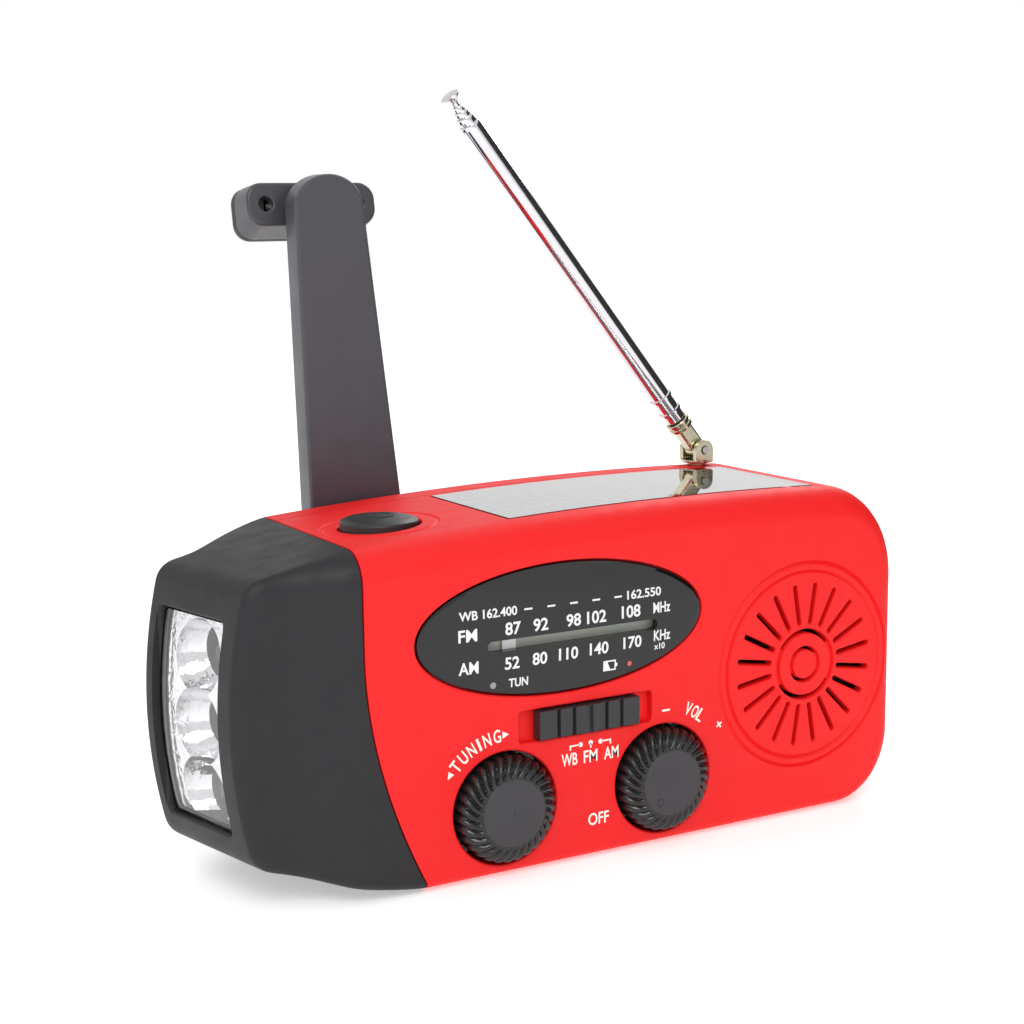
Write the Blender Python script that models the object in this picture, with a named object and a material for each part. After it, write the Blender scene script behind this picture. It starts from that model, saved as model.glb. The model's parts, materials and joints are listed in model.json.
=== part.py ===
"""Emergency radio with a hand crank, a solar panel, a flashlight and a telescopic antenna.

Frame: the origin is the centre of the flat underside, +X runs along the body away from the flashlight,
-Y is the front with the dial, and +Z is up. Sizes below are in millimetres; MM turns them into metres.
"""

import math

import bmesh
import bpy
from mathutils import Matrix, Vector

MM = 0.001

# Body
BODY_FRONT, BODY_BACK = -22.0, 22.0
BODY_RIGHT = 65.5
BODY_LEFT = -50.0  # the red outline runs past the seam and is trimmed there
TOP_PEAK_X, TOP_PEAK_Z, TOP_ARCH = 22.0, 59.6, 0.00066
TOP_CORNER_WIDTH, RIGHT_TOP_Z = 14.0, 42.0
BOTTOM_CORNER = 13.0
EDGE_TOP, EDGE_SIDE, EDGE_BOTTOM, EDGE_BACK = 5.5, 3.5, 1.5, 3.5
WALL = 2.0
SPLIT_Y = 13.9  # where the front case meets the rear case
GAP = 0.3

# Seam between the red case and the dark flashlight cap
SEAM_X, SEAM_SWEEP, SEAM_START_Z, SEAM_POWER = -42.4, 10.6, 40.0, 1.9

# Flashlight cap
CAP_RIGHT = -27.0
CAP_EDGE_X, CAP_TIP = -61.5, 3.0
CAP_MIDDLE_Z, CAP_HALF_Z = 29.5, 22.5
CAP_TOP_SLOPE, CAP_TAPER = 0.215, 0.075
CAP_BOTTOM_RISE, CAP_BOTTOM_POWER, CAP_BOTTOM_START, CAP_BOTTOM_RUN = 7.0, 1.35, -32.0, 30.0
CAP_EDGE = 2.5
WINDOW_NEAR_Y, WINDOW_FAR_Y, WINDOW_LOW, WINDOW_HIGH = -12.6, 14.9, 11.7, 46.4
# The flashlight end narrows and its lens faces a little to the front.
SLANT_START, SLANT_RUN, SLANT_BACK, SLANT_SLOPE, SLANT_NEAR_Y = -42.6, 14.4, 2.0, 0.24, -17.5
SLANT_NARROW, SLANT_SHIFT = 0.646, -4.25
LED_X, LED_Y = -1.2, -4.0  # how far the slant carries the diodes
LENS_SET_BACK, LENS_THICK, LENS_MARGIN, REFLECTOR_MARGIN = 1.0, 1.2, 0.4, 0.9
REFLECTOR_SET_BACK, REFLECTOR_BACK_X = 3.2, -54.0
LED_PITCH, LED_MIDDLE_Z, BOWL_RADIUS = 11.4, 28.0, 5.6

# Dial
DIAL_X, DIAL_Z, DIAL_A, DIAL_B = -5.9, 40.7, 27.4, 10.9
DIAL_FLOOR_Y = -20.4
SLOT_X0, SLOT_X1, SLOT_Z = -20.0, 13.0, 38.7
POINTER_X = -15.7

# Knobs
KNOB_Z, TUNING_X, VOLUME_X = 11.4, -17.5, 13.7
WELL_RADIUS, KNOB_RADIUS, KNOB_DISC, KNOB_FACE_Y = 9.7, 9.2, 5.8, -25.0
KNOB_RIDGES = 18

# Band switch
BAND_X0, BAND_X1, BAND_Z0, BAND_Z1 = -14.8, 11.4, 21.9, 27.4
SLIDER_X, SLIDER_WIDTH = -1.6, 19.7

# Speaker
SPEAKER_X, SPEAKER_Z = 44.4, 27.6
GRILLE_SLOTS, SLOT_IN, SLOT_OUT, SLOT_WIDTH = 20, 7.8, 14.5, 1.0

# Solar panel and flashlight button on the top
PANEL_X0, PANEL_X1, PANEL_Y0, PANEL_Y1 = -13.0, 50.0, -16.2, 12.4
PANEL_THICK, CELL_THICK = 1.1, 0.8
BUTTON_X, BUTTON_Y, BUTTON_RADIUS, BUTTON_TOP = -31.0, -4.0, 6.6, 59.4

# Crank: built with the arm straight up from the hub, then leaned
HUB_X, HUB_Z, LEAN = -21.0, 30.0, math.radians(-3.95)
RECESS_RADIUS, RECESS_FLOOR_Y, HUB_RADIUS = 16.2, 16.9, 15.8
FOLD_U, FOLD_Y = 9.0, 25.6
ARM_FRONT_Y, ARM_BACK_Y = 22.9, 28.3
ARM_TIP, ARM_TIP_HALF, ARM_ROOT_HALF, ARM_NECK_HALF = 86.0, 6.6, 9.6, 6.0
GRIP_U, GRIP_Y, GRIP_TILT = 80.4, 34.0, math.radians(-10.0)
GRIP_HALF_LENGTH, GRIP_NEAR, GRIP_MIDDLE, GRIP_FAR, GRIP_HOLE_X = 12.4, 3.2, 3.6, 5.9, 8.8
GRIP_FACE_LOW, GRIP_FACE_HIGH, GRIP_BELLY_LOW, GRIP_BELLY_HIGH = -3.8, 3.8, -5.4, 4.2
POCKET_X, POCKET_Z, POCKET_FLOOR_Y = 40.8, 30.0, 8.9

# Gear train
MODULE, BIG_TEETH, SMALL_TEETH = 1.0, 30, 10
AXLE_DISTANCE = MODULE * (BIG_TEETH + SMALL_TEETH) / 2 + 0.15
IDLER_ANGLE, GENERATOR_ANGLE = math.radians(20.0), math.radians(-40.0)

# Antenna: built along +Z from its hinge pin, then leaned
ANTENNA_X, ANTENNA_Y, ANTENNA_Z, ANTENNA_LEAN = 47.8, 17.2, 62.4, math.radians(-38.6)
TUBE_OUTER = (2.0, 1.66, 1.32, 0.98)
TUBE_WALL = 0.18
TUBE_END = (79.5, 81.0, 82.2, 83.2)
ROD_RADIUS, TIP_END = 0.6, 85.9

# Charging sockets behind the rubber flap in the right end
PORT_Y, FLAP_HALF_Y, FLAP_Z0, FLAP_Z1 = 3.5, 8.7, 19.3, 36.7

SCREWS = ((-37.5, 49.5), (57.0, 50.0), (-29.0, 6.0), (57.0, 8.0))

RED = ((0.86, 0.035, 0.035, 1.0), 0.55, 0.0)
BLACK = ((0.045, 0.045, 0.05, 1.0), 0.55, 0.0)
GLOSS = ((0.01, 0.01, 0.012, 1.0), 0.08, 0.0)
CLEAR = ((0.85, 0.9, 0.92, 1.0), 0.05, 0.0)
CHROME = ((0.8, 0.8, 0.8, 1.0), 0.12, 1.0)
STEEL = ((0.55, 0.55, 0.56, 1.0), 0.3, 1.0)
BRASS = ((0.6, 0.5, 0.28, 1.0), 0.3, 1.0)
BOARD = ((0.03, 0.2, 0.08, 1.0), 0.5, 0.0)
WHITE = ((0.8, 0.8, 0.78, 1.0), 0.5, 0.0)
BLUE = ((0.02, 0.03, 0.09, 1.0), 0.3, 0.0)
FERRITE = ((0.03, 0.03, 0.03, 1.0), 0.7, 0.0)
COPPER = ((0.6, 0.25, 0.1, 1.0), 0.4, 1.0)
RUBBER = ((0.03, 0.03, 0.03, 1.0), 0.85, 0.0)


# Helpers

def clear_scene():
    for obj in list(bpy.data.objects):
        bpy.data.objects.remove(obj, do_unlink=True)


def finish_material(obj, finish):
    colour, roughness, metallic = finish
    material = bpy.data.materials.new(obj.name)
    material.use_nodes = True
    shader = material.node_tree.nodes["Principled BSDF"]
    shader.inputs["Base Color"].default_value = colour
    shader.inputs["Roughness"].default_value = roughness
    shader.inputs["Metallic"].default_value = metallic
    material.diffuse_color = colour
    obj.data.materials.append(material)


def make(name, points, faces, finish=None):
    """A mesh object from points in millimetres; a piece with no finish is a hidden cutter."""
    mesh = bpy.data.meshes.new(name)
    mesh.from_pydata([Vector(p) * MM for p in points], [], faces)
    shape = bmesh.new()
    shape.from_mesh(mesh)
    bmesh.ops.recalc_face_normals(shape, faces=shape.faces)
    shape.to_mesh(mesh)
    shape.free()
    obj = bpy.data.objects.new(name, mesh)
    bpy.context.scene.collection.objects.link(obj)
    if finish:
        finish_material(obj, finish)
        mesh.shade_smooth()
        mesh.set_sharp_from_angle(angle=math.radians(35.0))
    else:
        obj.hide_render = True
        obj.display_type = "WIRE"
    return obj


def boolean(target, other, operation="DIFFERENCE"):
    modifier = target.modifiers.new(other.name, "BOOLEAN")
    modifier.operation = operation
    modifier.solver = "EXACT"
    modifier.object = other
    other.hide_render = True
    other.display_type = "WIRE"


def stacked(rings):
    """Points and faces of a closed skin over a stack of rings with equal point counts."""
    count = len(rings[0])
    points = [p for ring in rings for p in ring]
    faces = [tuple(range(count))[::-1], tuple(range(len(points) - count, len(points)))]
    for level in range(len(rings) - 1):
        low, high = level * count, (level + 1) * count
        for k in range(count):
            after = (k + 1) % count
            faces.append((low + k, low + after, high + after, high + k))
    return points, faces


def place(a, b, level, axis):
    """A point from two plan coordinates and a level along an axis."""
    return {"X": (level, a, b), "Y": (a, level, b), "Z": (a, b, level)}[axis]


def prism(name, outline, low, high, axis, finish=None):
    rings = [[place(a, b, level, axis) for a, b in outline] for level in (low, high)]
    return make(name, *stacked(rings), finish)


def box(name, low, high, finish=None):
    outline = [(low[0], low[1]), (high[0], low[1]), (high[0], high[1]), (low[0], high[1])]
    return prism(name, outline, low[2], high[2], "Z", finish)


def circle(centre, radius, sides, start=0.0, sweep=2 * math.pi):
    return [
        (centre[0] + radius * math.cos(start + sweep * k / sides),
         centre[1] + radius * math.sin(start + sweep * k / sides))
        for k in range(sides)
    ]


def ellipse(centre, a, b, sides):
    return [(centre[0] + a * x, centre[1] + b * y) for x, y in circle((0, 0), 1.0, sides)]


def rounded(low, high, radius, sides=3):
    """A rectangle with round corners."""
    outline = []
    corners = ((high[0], high[1]), (low[0], high[1]), (low[0], low[1]), (high[0], low[1]))
    for k, (x, y) in enumerate(corners):
        cx = x - radius if x == high[0] else x + radius
        cy = y - radius if y == high[1] else y + radius
        for step in range(sides + 1):
            angle = math.pi / 2 * (k + step / sides)
            outline.append((cx + radius * math.cos(angle), cy + radius * math.sin(angle)))
    return outline


def turned(name, centre, profile, sides, axis, finish=None):
    """A solid turned about an axis through centre, from (radius, level) pairs."""
    rings = []
    for radius, level in profile:
        rings.append([place(a, b, level, axis) for a, b in circle(centre, radius, sides)])
    return make(name, *stacked(rings), finish)


def ring(name, centre, inner, outer, low, high, sides, axis, finish=None):
    """A tube or washer: a closed solid with a through hole."""
    count = sides
    loops = []
    for radius, level in ((outer, low), (outer, high), (inner, high), (inner, low)):
        loops.append([place(a, b, level, axis) for a, b in circle(centre, radius, count)])
    points = [p for loop in loops for p in loop]
    faces = []
    for level in range(4):
        here, there = level * count, (level + 1) % 4 * count
        for k in range(count):
            after = (k + 1) % count
            faces.append((here + k, here + after, there + after, there + k))
    return make(name, points, faces, finish)


def empty(name, location, rotation=(0.0, 0.0, 0.0), parent=None):
    marker = bpy.data.objects.new(name, None)
    bpy.context.scene.collection.objects.link(marker)
    marker.empty_display_size = 0.01
    marker.location = Vector(location) * MM
    marker.rotation_euler = rotation
    marker.parent = parent
    return marker


def hang(marker, *pieces):
    """Pieces drawn about a marker's own origin follow it."""
    for piece in pieces:
        piece.parent = marker


def set_origin(obj, point):
    """Moves a piece's origin to its joint without moving the piece."""
    move = Vector(point) * MM
    obj.data.transform(Matrix.Translation(-move))
    obj.location = move


# Body outline

def top_height(x):
    return TOP_PEAK_Z - TOP_ARCH * (x - TOP_PEAK_X) ** 2


def seam_x(z):
    rise = max(0.0, 1.0 - z / SEAM_START_Z)
    return SEAM_X + SEAM_SWEEP * rise ** SEAM_POWER


def red_outline():
    """Pairs of top and bottom points from the right end to past the seam."""
    corner_x, bottom_x = BODY_RIGHT - TOP_CORNER_WIDTH, BODY_RIGHT - BOTTOM_CORNER
    corner_rise = top_height(corner_x) - RIGHT_TOP_Z
    pairs = []
    steps = 5
    for k in range(steps + 1):
        angle = math.pi / 2 * k / steps
        side, rise = math.cos(angle), math.sin(angle)
        top = (corner_x + TOP_CORNER_WIDTH * side, RIGHT_TOP_Z + corner_rise * rise)
        bottom = (bottom_x + BOTTOM_CORNER * side, BOTTOM_CORNER * (1 - rise))
        pairs.append((top, bottom))
    for x in (38.0, 20.0, 2.0, -14.0, -29.0, -44.0, BODY_LEFT):
        pairs.append(((x, top_height(x)), (x, 0.0)))
    return pairs


def red_edges(outward):
    """Front and back edge radii of the red case for an outward direction."""
    share = max(0.0, outward[1]) ** 2
    front = EDGE_SIDE + (EDGE_TOP - EDGE_SIDE) * share
    share = max(0.0, -outward[1]) ** 2
    front += (EDGE_BOTTOM - EDGE_SIDE) * share
    back = EDGE_BACK + (EDGE_BOTTOM - EDGE_BACK) * share
    return front, back


def cap_top(x):
    if x > SEAM_X:
        return top_height(x)
    return top_height(SEAM_X) - CAP_TOP_SLOPE * (SEAM_X - x)


def cap_bottom(x):
    run = max(0.0, (CAP_BOTTOM_START - x) / CAP_BOTTOM_RUN)
    return CAP_BOTTOM_RISE * run ** CAP_BOTTOM_POWER


def cap_end(z):
    return CAP_EDGE_X - CAP_TIP * (1 - ((z - CAP_MIDDLE_Z) / CAP_HALF_Z) ** 2)


def bend(start, corner, end, share):
    """A point on the curve that rounds a corner."""
    keep, turn, go = (1 - share) ** 2, 2 * share * (1 - share), share ** 2
    return tuple(keep * s + turn * c + go * e for s, c, e in zip(start, corner, end))


def cap_outline():
    pairs = []
    for x in (CAP_RIGHT, -31.0, -35.0, -39.0, SEAM_X, -46.0, -50.0, -54.0, -57.5):
        pairs.append(((x, cap_top(x)), (x, cap_bottom(x))))
    high, low = cap_top(CAP_EDGE_X), cap_bottom(CAP_EDGE_X)
    round_by = 3.0
    for k in range(4):
        share = k / 3
        top = bend((CAP_EDGE_X + round_by, cap_top(CAP_EDGE_X + round_by)), (CAP_EDGE_X, high),
                   (cap_end(high - round_by), high - round_by), share)
        bottom = bend((CAP_EDGE_X + round_by, cap_bottom(CAP_EDGE_X + round_by)), (CAP_EDGE_X, low),
                      (cap_end(low + round_by), low + round_by), share)
        pairs.append((top, bottom))
    for share in (0.25, 0.5, 0.75, 0.94):
        top_z = (high - round_by) * (1 - share) + CAP_MIDDLE_Z * share
        low_z = (low + round_by) * (1 - share) + CAP_MIDDLE_Z * share
        pairs.append(((cap_end(top_z), top_z), (cap_end(low_z), low_z)))
    return pairs


def cap_edges(outward, x):
    """The cap's edges match the red case's at the seam and tighten towards the end."""
    front, back = red_edges(outward)
    share = min(1.0, max(0.0, (SEAM_X - x) / (SEAM_X - CAP_EDGE_X)))
    return front + (CAP_EDGE - front) * share, back + (CAP_EDGE - back) * share


def taper(x):
    return CAP_TAPER * max(0.0, SEAM_X - x)


def inward_normals(outline):
    """Unit vectors into a closed outline that runs counter-clockwise seen from the front."""
    normals = []
    count = len(outline)
    for k, here in enumerate(outline):
        before, after = Vector(outline[k - 1]), Vector(outline[(k + 1) % count])
        first = (Vector(here) - before).normalized()
        second = (after - Vector(here)).normalized()
        along = (first + second).normalized()
        normals.append(Vector((-along.y, along.x)))
    return normals


def case_block(name, pairs, edges, front, back, inset=0.0, open_front=False, open_back=False, finish=None):
    """A block with the case's outline, rounded at the front and back edges; inset shrinks it all round."""
    outline = [pair[0] for pair in pairs] + [pair[1] for pair in reversed(pairs)]
    normals = inward_normals(outline)
    steps = 3
    levels = []
    if open_front:
        levels.append((0, front))
    else:
        levels += [(1, math.pi / 2 * (steps - k) / steps) for k in range(steps + 1)]
    if open_back:
        levels.append((0, back))
    else:
        levels += [(2, math.pi / 2 * k / steps) for k in range(steps + 1)]
    rings = []
    for kind, value in levels:
        loop = []
        for (x, z), normal in zip(outline, normals):
            radii = edges((-normal.x, -normal.y), x)
            narrow = taper(x)
            shift, y = inset, value
            if kind == 1:
                radius = max(radii[0] - inset, 0.4)
                shift = inset + radius * (1 - math.cos(value))
                y = front + narrow + radius * (1 - math.sin(value))
            if kind == 2:
                radius = max(radii[1] - inset, 0.4)
                shift = inset + radius * (1 - math.cos(value))
                y = back - narrow - radius * (1 - math.sin(value))
            loop.append((x + normal.x * shift, y, z + normal.y * shift))
        rings.append(loop)
    points, faces = stacked(rings)
    faces = faces[2:]
    count, last = len(outline), len(points) - len(outline)
    for k in range(len(pairs) - 1):
        face = (k, k + 1, count - 2 - k, count - 1 - k)
        faces += [face, tuple(last + corner for corner in face[::-1])]
    return make(name, points, faces, finish)


def seam_region(name, shift, side):
    """A wide block on one side of the seam: side -1 is the cap's, +1 the red case's."""
    levels = [-6.0, 0.0, 4.0, 8.0, 12.0, 16.0, 20.0, 25.0, 30.0, 35.0, 40.0, 70.0]
    line = [(seam_x(max(z, 0.0)) + shift, z) for z in levels]
    far = 90.0 * side
    outline = line + [(far, levels[-1]), (far, levels[0])]
    return prism(name, outline, -40.0, 40.0, "Y")


def under_arch(name, x0, x1, y0, y1, top, bottom, finish=None):
    """A plate that follows the arched top: top and bottom are depths below it."""
    steps = 8
    xs = [x0 + (x1 - x0) * k / steps for k in range(steps + 1)]
    upper = [(x, top_height(x) - top) for x in xs]
    lower = [(x, top_height(x) - bottom) for x in reversed(xs)]
    return prism(name, upper + lower, y0, y1, "Y", finish)


# Cases

def front_hollow():
    """The space inside the front case, less the pads and posts that stand in it."""
    pairs = red_outline()
    hollow = case_block("cutter_front_hollow", pairs, lambda out, x: red_edges(out),
                        BODY_FRONT + WALL, 20.0, WALL, open_back=True)
    boolean(hollow, box("pad_dial", (-34.5, -21.0, 29.2), (22.7, -18.6, 52.2)))
    boolean(hollow, box("pad_band", (-16.8, -21.0, 20.6), (13.4, -19.0, 28.8)))
    boolean(hollow, under_arch("pad_solar", PANEL_X0 - 2, PANEL_X1 + 1, -19.0, 25.0, -2.0, 3.6))
    boolean(hollow, prism("pad_ports", rounded((PORT_Y - 11.0, 17.0), (PORT_Y + 11.0, 39.0), 2.0),
                          62.2, 70.0, "X"))
    for k, (x, z) in enumerate(SCREWS):
        boolean(hollow, turned(f"post_{k + 1}", (x, z), ((2.8, -21.0), (2.8, 12.0)), 12, "Y"))
    return hollow


def grille_cutter():
    """Radial slots and short arcs that go right through the front wall."""
    points, faces = [], []
    outlines = []
    for k in range(GRILLE_SLOTS):
        turn = Matrix.Rotation(2 * math.pi * (k + 0.5) / GRILLE_SLOTS, 2)
        half = SLOT_WIDTH / 2
        corners = ((SLOT_IN, -half), (SLOT_OUT, -half), (SLOT_OUT, half), (SLOT_IN, half))
        outlines.append([turn @ Vector(corner) for corner in corners])
    for radius, width, sweep in ((6.1, 0.9, 2.0), (3.0, 0.8, 2.0)):
        for middle in (math.pi / 2, -math.pi / 2):
            steps = 5
            angles = [middle + sweep * (k / steps - 0.5) for k in range(steps + 1)]
            outer = [Vector((math.cos(a), math.sin(a))) * (radius + width / 2) for a in angles]
            inner = [Vector((math.cos(a), math.sin(a))) * (radius - width / 2) for a in reversed(angles)]
            outlines.append(outer + inner)
    for outline in outlines:
        rings = [[(SPEAKER_X + p.x, y, SPEAKER_Z + p.y) for p in outline] for y in (-24.0, -19.0)]
        new_points, new_faces = stacked(rings)
        faces += [tuple(len(points) + corner for corner in face) for face in new_faces]
        points += new_points
    return make("cutter_grille", points, faces)


def front_case():
    case = case_block("front_case", red_outline(), lambda out, x: red_edges(out),
                      BODY_FRONT, SPLIT_Y, open_back=True, finish=RED)
    boolean(case, front_hollow())
    boolean(case, seam_region("cutter_cap_side", GAP / 2, -1))
    boolean(case, prism("cutter_dial", ellipse((DIAL_X, DIAL_Z), DIAL_A + GAP, DIAL_B + GAP, 40),
                        -24.0, DIAL_FLOOR_Y, "Y"))
    boolean(case, box("cutter_pointer", (SLOT_X0 - 2, -22.0, 35.8), (SLOT_X1 + 2, -17.0, 41.6)))
    for name, x in (("tuning", TUNING_X), ("volume", VOLUME_X)):
        boolean(case, turned(f"cutter_{name}", (x, KNOB_Z), ((WELL_RADIUS, -26.0), (WELL_RADIUS, -19.0)),
                             32, "Y"))
    boolean(case, prism("cutter_band", rounded((BAND_X0, BAND_Z0), (BAND_X1, BAND_Z1), 0.6, 2),
                        -24.0, -20.5, "Y"))
    boolean(case, box("cutter_band_stem", (SLIDER_X - 5.6, -22.0, 23.3), (SLIDER_X + 5.6, -17.0, 26.0)))
    boolean(case, grille_cutter())
    boolean(case, under_arch("cutter_solar", PANEL_X0 - GAP, PANEL_X1 + GAP, PANEL_Y0 - GAP, PANEL_Y1 + GAP,
                             -2.0, 2.4))
    boolean(case, turned("cutter_button", (BUTTON_X, BUTTON_Y), ((7.0, 50.0), (7.0, 64.0)), 24, "Z"))
    boolean(case, prism("cutter_flap", rounded((PORT_Y - 9.0, 19.0), (PORT_Y + 9.0, 37.0), 1.2, 2),
                        64.2, 70.0, "X"))
    boolean(case, box("cutter_usb", (58.0, PORT_Y - 6.9, 28.8), (70.0, PORT_Y + 6.9, 35.2)))
    boolean(case, box("cutter_charging", (58.0, PORT_Y - 4.2, 21.6), (70.0, PORT_Y + 4.2, 25.0)))
    for k, (x, z) in enumerate(SCREWS):
        boolean(case, turned(f"cutter_pilot_{k + 1}", (x, z), ((1.5, 0.0), (1.5, 16.0)), 10, "Y"))


def rear_case():
    pairs = red_outline()
    case = case_block("rear_case", pairs, lambda out, x: red_edges(out),
                      SPLIT_Y + GAP, BODY_BACK, open_front=True, finish=RED)
    hollow = case_block("cutter_rear_hollow", pairs, lambda out, x: red_edges(out),
                        SPLIT_Y - 3, BODY_BACK - WALL, WALL, open_front=True)
    boolean(hollow, turned("pad_hub", (HUB_X, HUB_Z), ((17.8, SPLIT_Y + 1.0), (17.8, 21.5)), 32, "Y"))
    for k, (x, z) in enumerate(SCREWS):
        boolean(hollow, turned(f"pad_screw_{k + 1}", (x, z), ((3.9, SPLIT_Y + GAP), (3.9, 21.5)), 12, "Y"))
    boolean(case, hollow)
    boolean(case, box("pad_pocket", (POCKET_X - 7.6, POCKET_FLOOR_Y - 1.4, POCKET_Z - 14.6),
                      (POCKET_X + 7.6, 21.0, POCKET_Z + 14.6)), "UNION")
    boolean(case, box("cutter_pocket", (POCKET_X - 6.1, POCKET_FLOOR_Y, POCKET_Z - 13.1),
                      (POCKET_X + 6.1, 26.0, POCKET_Z + 13.1)))
    boolean(case, seam_region("cutter_cap_side_rear", GAP / 2, -1))
    boolean(case, turned("cutter_recess", (HUB_X, HUB_Z), ((RECESS_RADIUS, RECESS_FLOOR_Y), (RECESS_RADIUS, 26.0)),
                         40, "Y"))
    boolean(case, turned("cutter_shaft", (HUB_X, HUB_Z), ((3.3, 10.0), (3.3, 20.0)), 16, "Y"))
    boolean(case, turned("cutter_antenna", (ANTENNA_X, ANTENNA_Y), ((2.1, 50.0), (2.1, 64.0)), 16, "Z"))
    for k, (x, z) in enumerate(SCREWS):
        boolean(case, turned(f"cutter_screw_{k + 1}", (x, z), ((1.6, 10.0), (1.6, 19.0)), 12, "Y"))
        boolean(case, turned(f"cutter_head_{k + 1}", (x, z), ((2.9, 17.0), (2.9, 26.0)), 12, "Y"))


def flashlight_cap():
    pairs = cap_outline()
    cap = case_block("flashlight_cap", pairs, cap_edges, BODY_FRONT, BODY_BACK, finish=BLACK)
    hollow = case_block("cutter_cap_hollow", pairs, cap_edges, BODY_FRONT + WALL, BODY_BACK - WALL, WALL)
    boolean(cap, hollow)
    boolean(cap, seam_region("cutter_red_side", -GAP / 2, 1))
    boolean(cap, prism("cutter_window",
                       rounded((WINDOW_NEAR_Y, WINDOW_LOW), (WINDOW_FAR_Y, WINDOW_HIGH), 0.4, 1),
                       -75.0, -57.0, "X"))


# Flashlight

def slant(x, y):
    """Where a point of the flashlight end goes when the end narrows and turns."""
    share = min(1.0, max(0.0, (SLANT_START - x) / SLANT_RUN))
    share = share * share * (3.0 - 2.0 * share)
    narrow = y + share * (SLANT_NARROW * y + SLANT_SHIFT - y)
    return x + share * (SLANT_BACK - SLANT_SLOPE * (narrow - SLANT_NEAR_Y)), narrow


def slant_end(*names):
    for name in names:
        for vertex in bpy.data.objects[name].data.vertices:
            x, y = slant(vertex.co.x / MM, vertex.co.y / MM)
            vertex.co.x, vertex.co.y = x * MM, y * MM


def bowed_plate(name, margin, near, far, finish):
    """A plate that follows the bulge of the cap's end; near and far are depths behind it."""
    steps = 6
    low, high = WINDOW_LOW + margin, WINDOW_HIGH - margin
    zs = [low + (high - low) * k / steps for k in range(steps + 1)]
    outer = [(cap_end(z) + near, z) for z in zs]
    if callable(far):
        inner = [(far(z), z) for z in reversed(zs)]
    else:
        inner = [(cap_end(z) + far, z) for z in reversed(zs)]
    return prism(name, outer + inner, WINDOW_NEAR_Y + margin, WINDOW_FAR_Y - margin, "Y", finish)


def flashlight():
    bowed_plate("flashlight_lens", LENS_MARGIN, LENS_SET_BACK, LENS_SET_BACK + LENS_THICK, CLEAR)
    reflector = bowed_plate("reflector", REFLECTOR_MARGIN, REFLECTOR_SET_BACK, lambda z: REFLECTOR_BACK_X, CHROME)
    slant_end("flashlight_cap", "cutter_cap_hollow", "cutter_window", "flashlight_lens", "reflector")
    for k, name in enumerate(("led_bottom", "led_middle", "led_top")):
        z = LED_MIDDLE_Z + (k - 1) * LED_PITCH
        bowl = [(radius, x + LED_X) for radius, x in ((BOWL_RADIUS + 0.8, -68.0), (BOWL_RADIUS, -62.0),
                                                      (4.6, -58.6), (2.5, -56.0), (2.5, -48.0))]
        boolean(reflector, turned(f"cutter_bowl_{k + 1}", (LED_Y, z), bowl, 20, "X"))
        diode = [(radius, x + LED_X) for radius, x in ((2.0, -52.2), (2.0, -56.8), (1.6, -57.9), (0.8, -58.5))]
        turned(name, (LED_Y, z), diode, 12, "X", CLEAR)
    box("led_board", (LED_X - 51.6, LED_Y - 12.0, 10.0), (LED_X - 50.4, LED_Y + 12.5, 46.0), BOARD)


# Front controls

def dial():
    prism("dial_window", ellipse((DIAL_X, DIAL_Z), DIAL_A, DIAL_B, 40), -22.1, -20.7, "Y", GLOSS)
    plate = box("dial_plate", (SLOT_X0 - 4, -18.2, 32.0), (SLOT_X1 + 4, -17.3, 45.4), WHITE)
    boolean(plate, box("cutter_dial_plate", (SLOT_X0 - 1, -20.0, SLOT_Z - 1.1),
                       (SLOT_X1 + 1, -15.0, SLOT_Z + 1.1)))
    outline = [
        (-20.0, 2.2), (-20.0, -2.2), (-19.0, -2.2), (-19.0, -0.6), (-17.0, -0.6), (-17.0, -3.5),
        (-15.6, -3.5), (-15.6, 3.5), (-17.0, 3.5), (-17.0, 0.6), (-19.0, 0.6), (-19.0, 2.2),
    ]
    outline = [(y, z + SLOT_Z) for y, z in outline]
    pointer = prism("dial_pointer", outline, POINTER_X - 1.4, POINTER_X + 1.4, "X", WHITE)
    set_origin(pointer, (POINTER_X, -19.5, SLOT_Z))


def knob(name, x, drum_depth):
    """A domed knob with a flat centre disc, swept ridges round its shoulder and a shaft socket behind."""
    face = KNOB_FACE_Y
    sides = 2 * KNOB_RIDGES
    profile = (
        (8.6, drum_depth, 0.0), (8.6, -19.4, 0.0), (KNOB_RADIUS, -19.4, 0.0), (KNOB_RADIUS, face + 2.6, 0.05),
        (8.2, face + 0.9, 0.09), (KNOB_DISC, face, 0.0), (KNOB_DISC - 0.3, face, 0.0),
    )
    rings = []
    for radius, y, depth in profile:
        loop = []
        for k in range(sides):
            angle = 2 * math.pi * k / sides
            reach = radius * (1 - (depth if k % 2 else 0.0))
            loop.append((x + reach * math.cos(angle), y, KNOB_Z + reach * math.sin(angle)))
        rings.append(loop)
    piece = make(name, *stacked(rings), BLACK)
    socket = turned(f"cutter_{name}_socket", (x, KNOB_Z), ((2.8, -20.6), (2.8, -10.0)), 12, "Y")
    set_origin(piece, (x, face, KNOB_Z))
    boolean(piece, socket)


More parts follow.
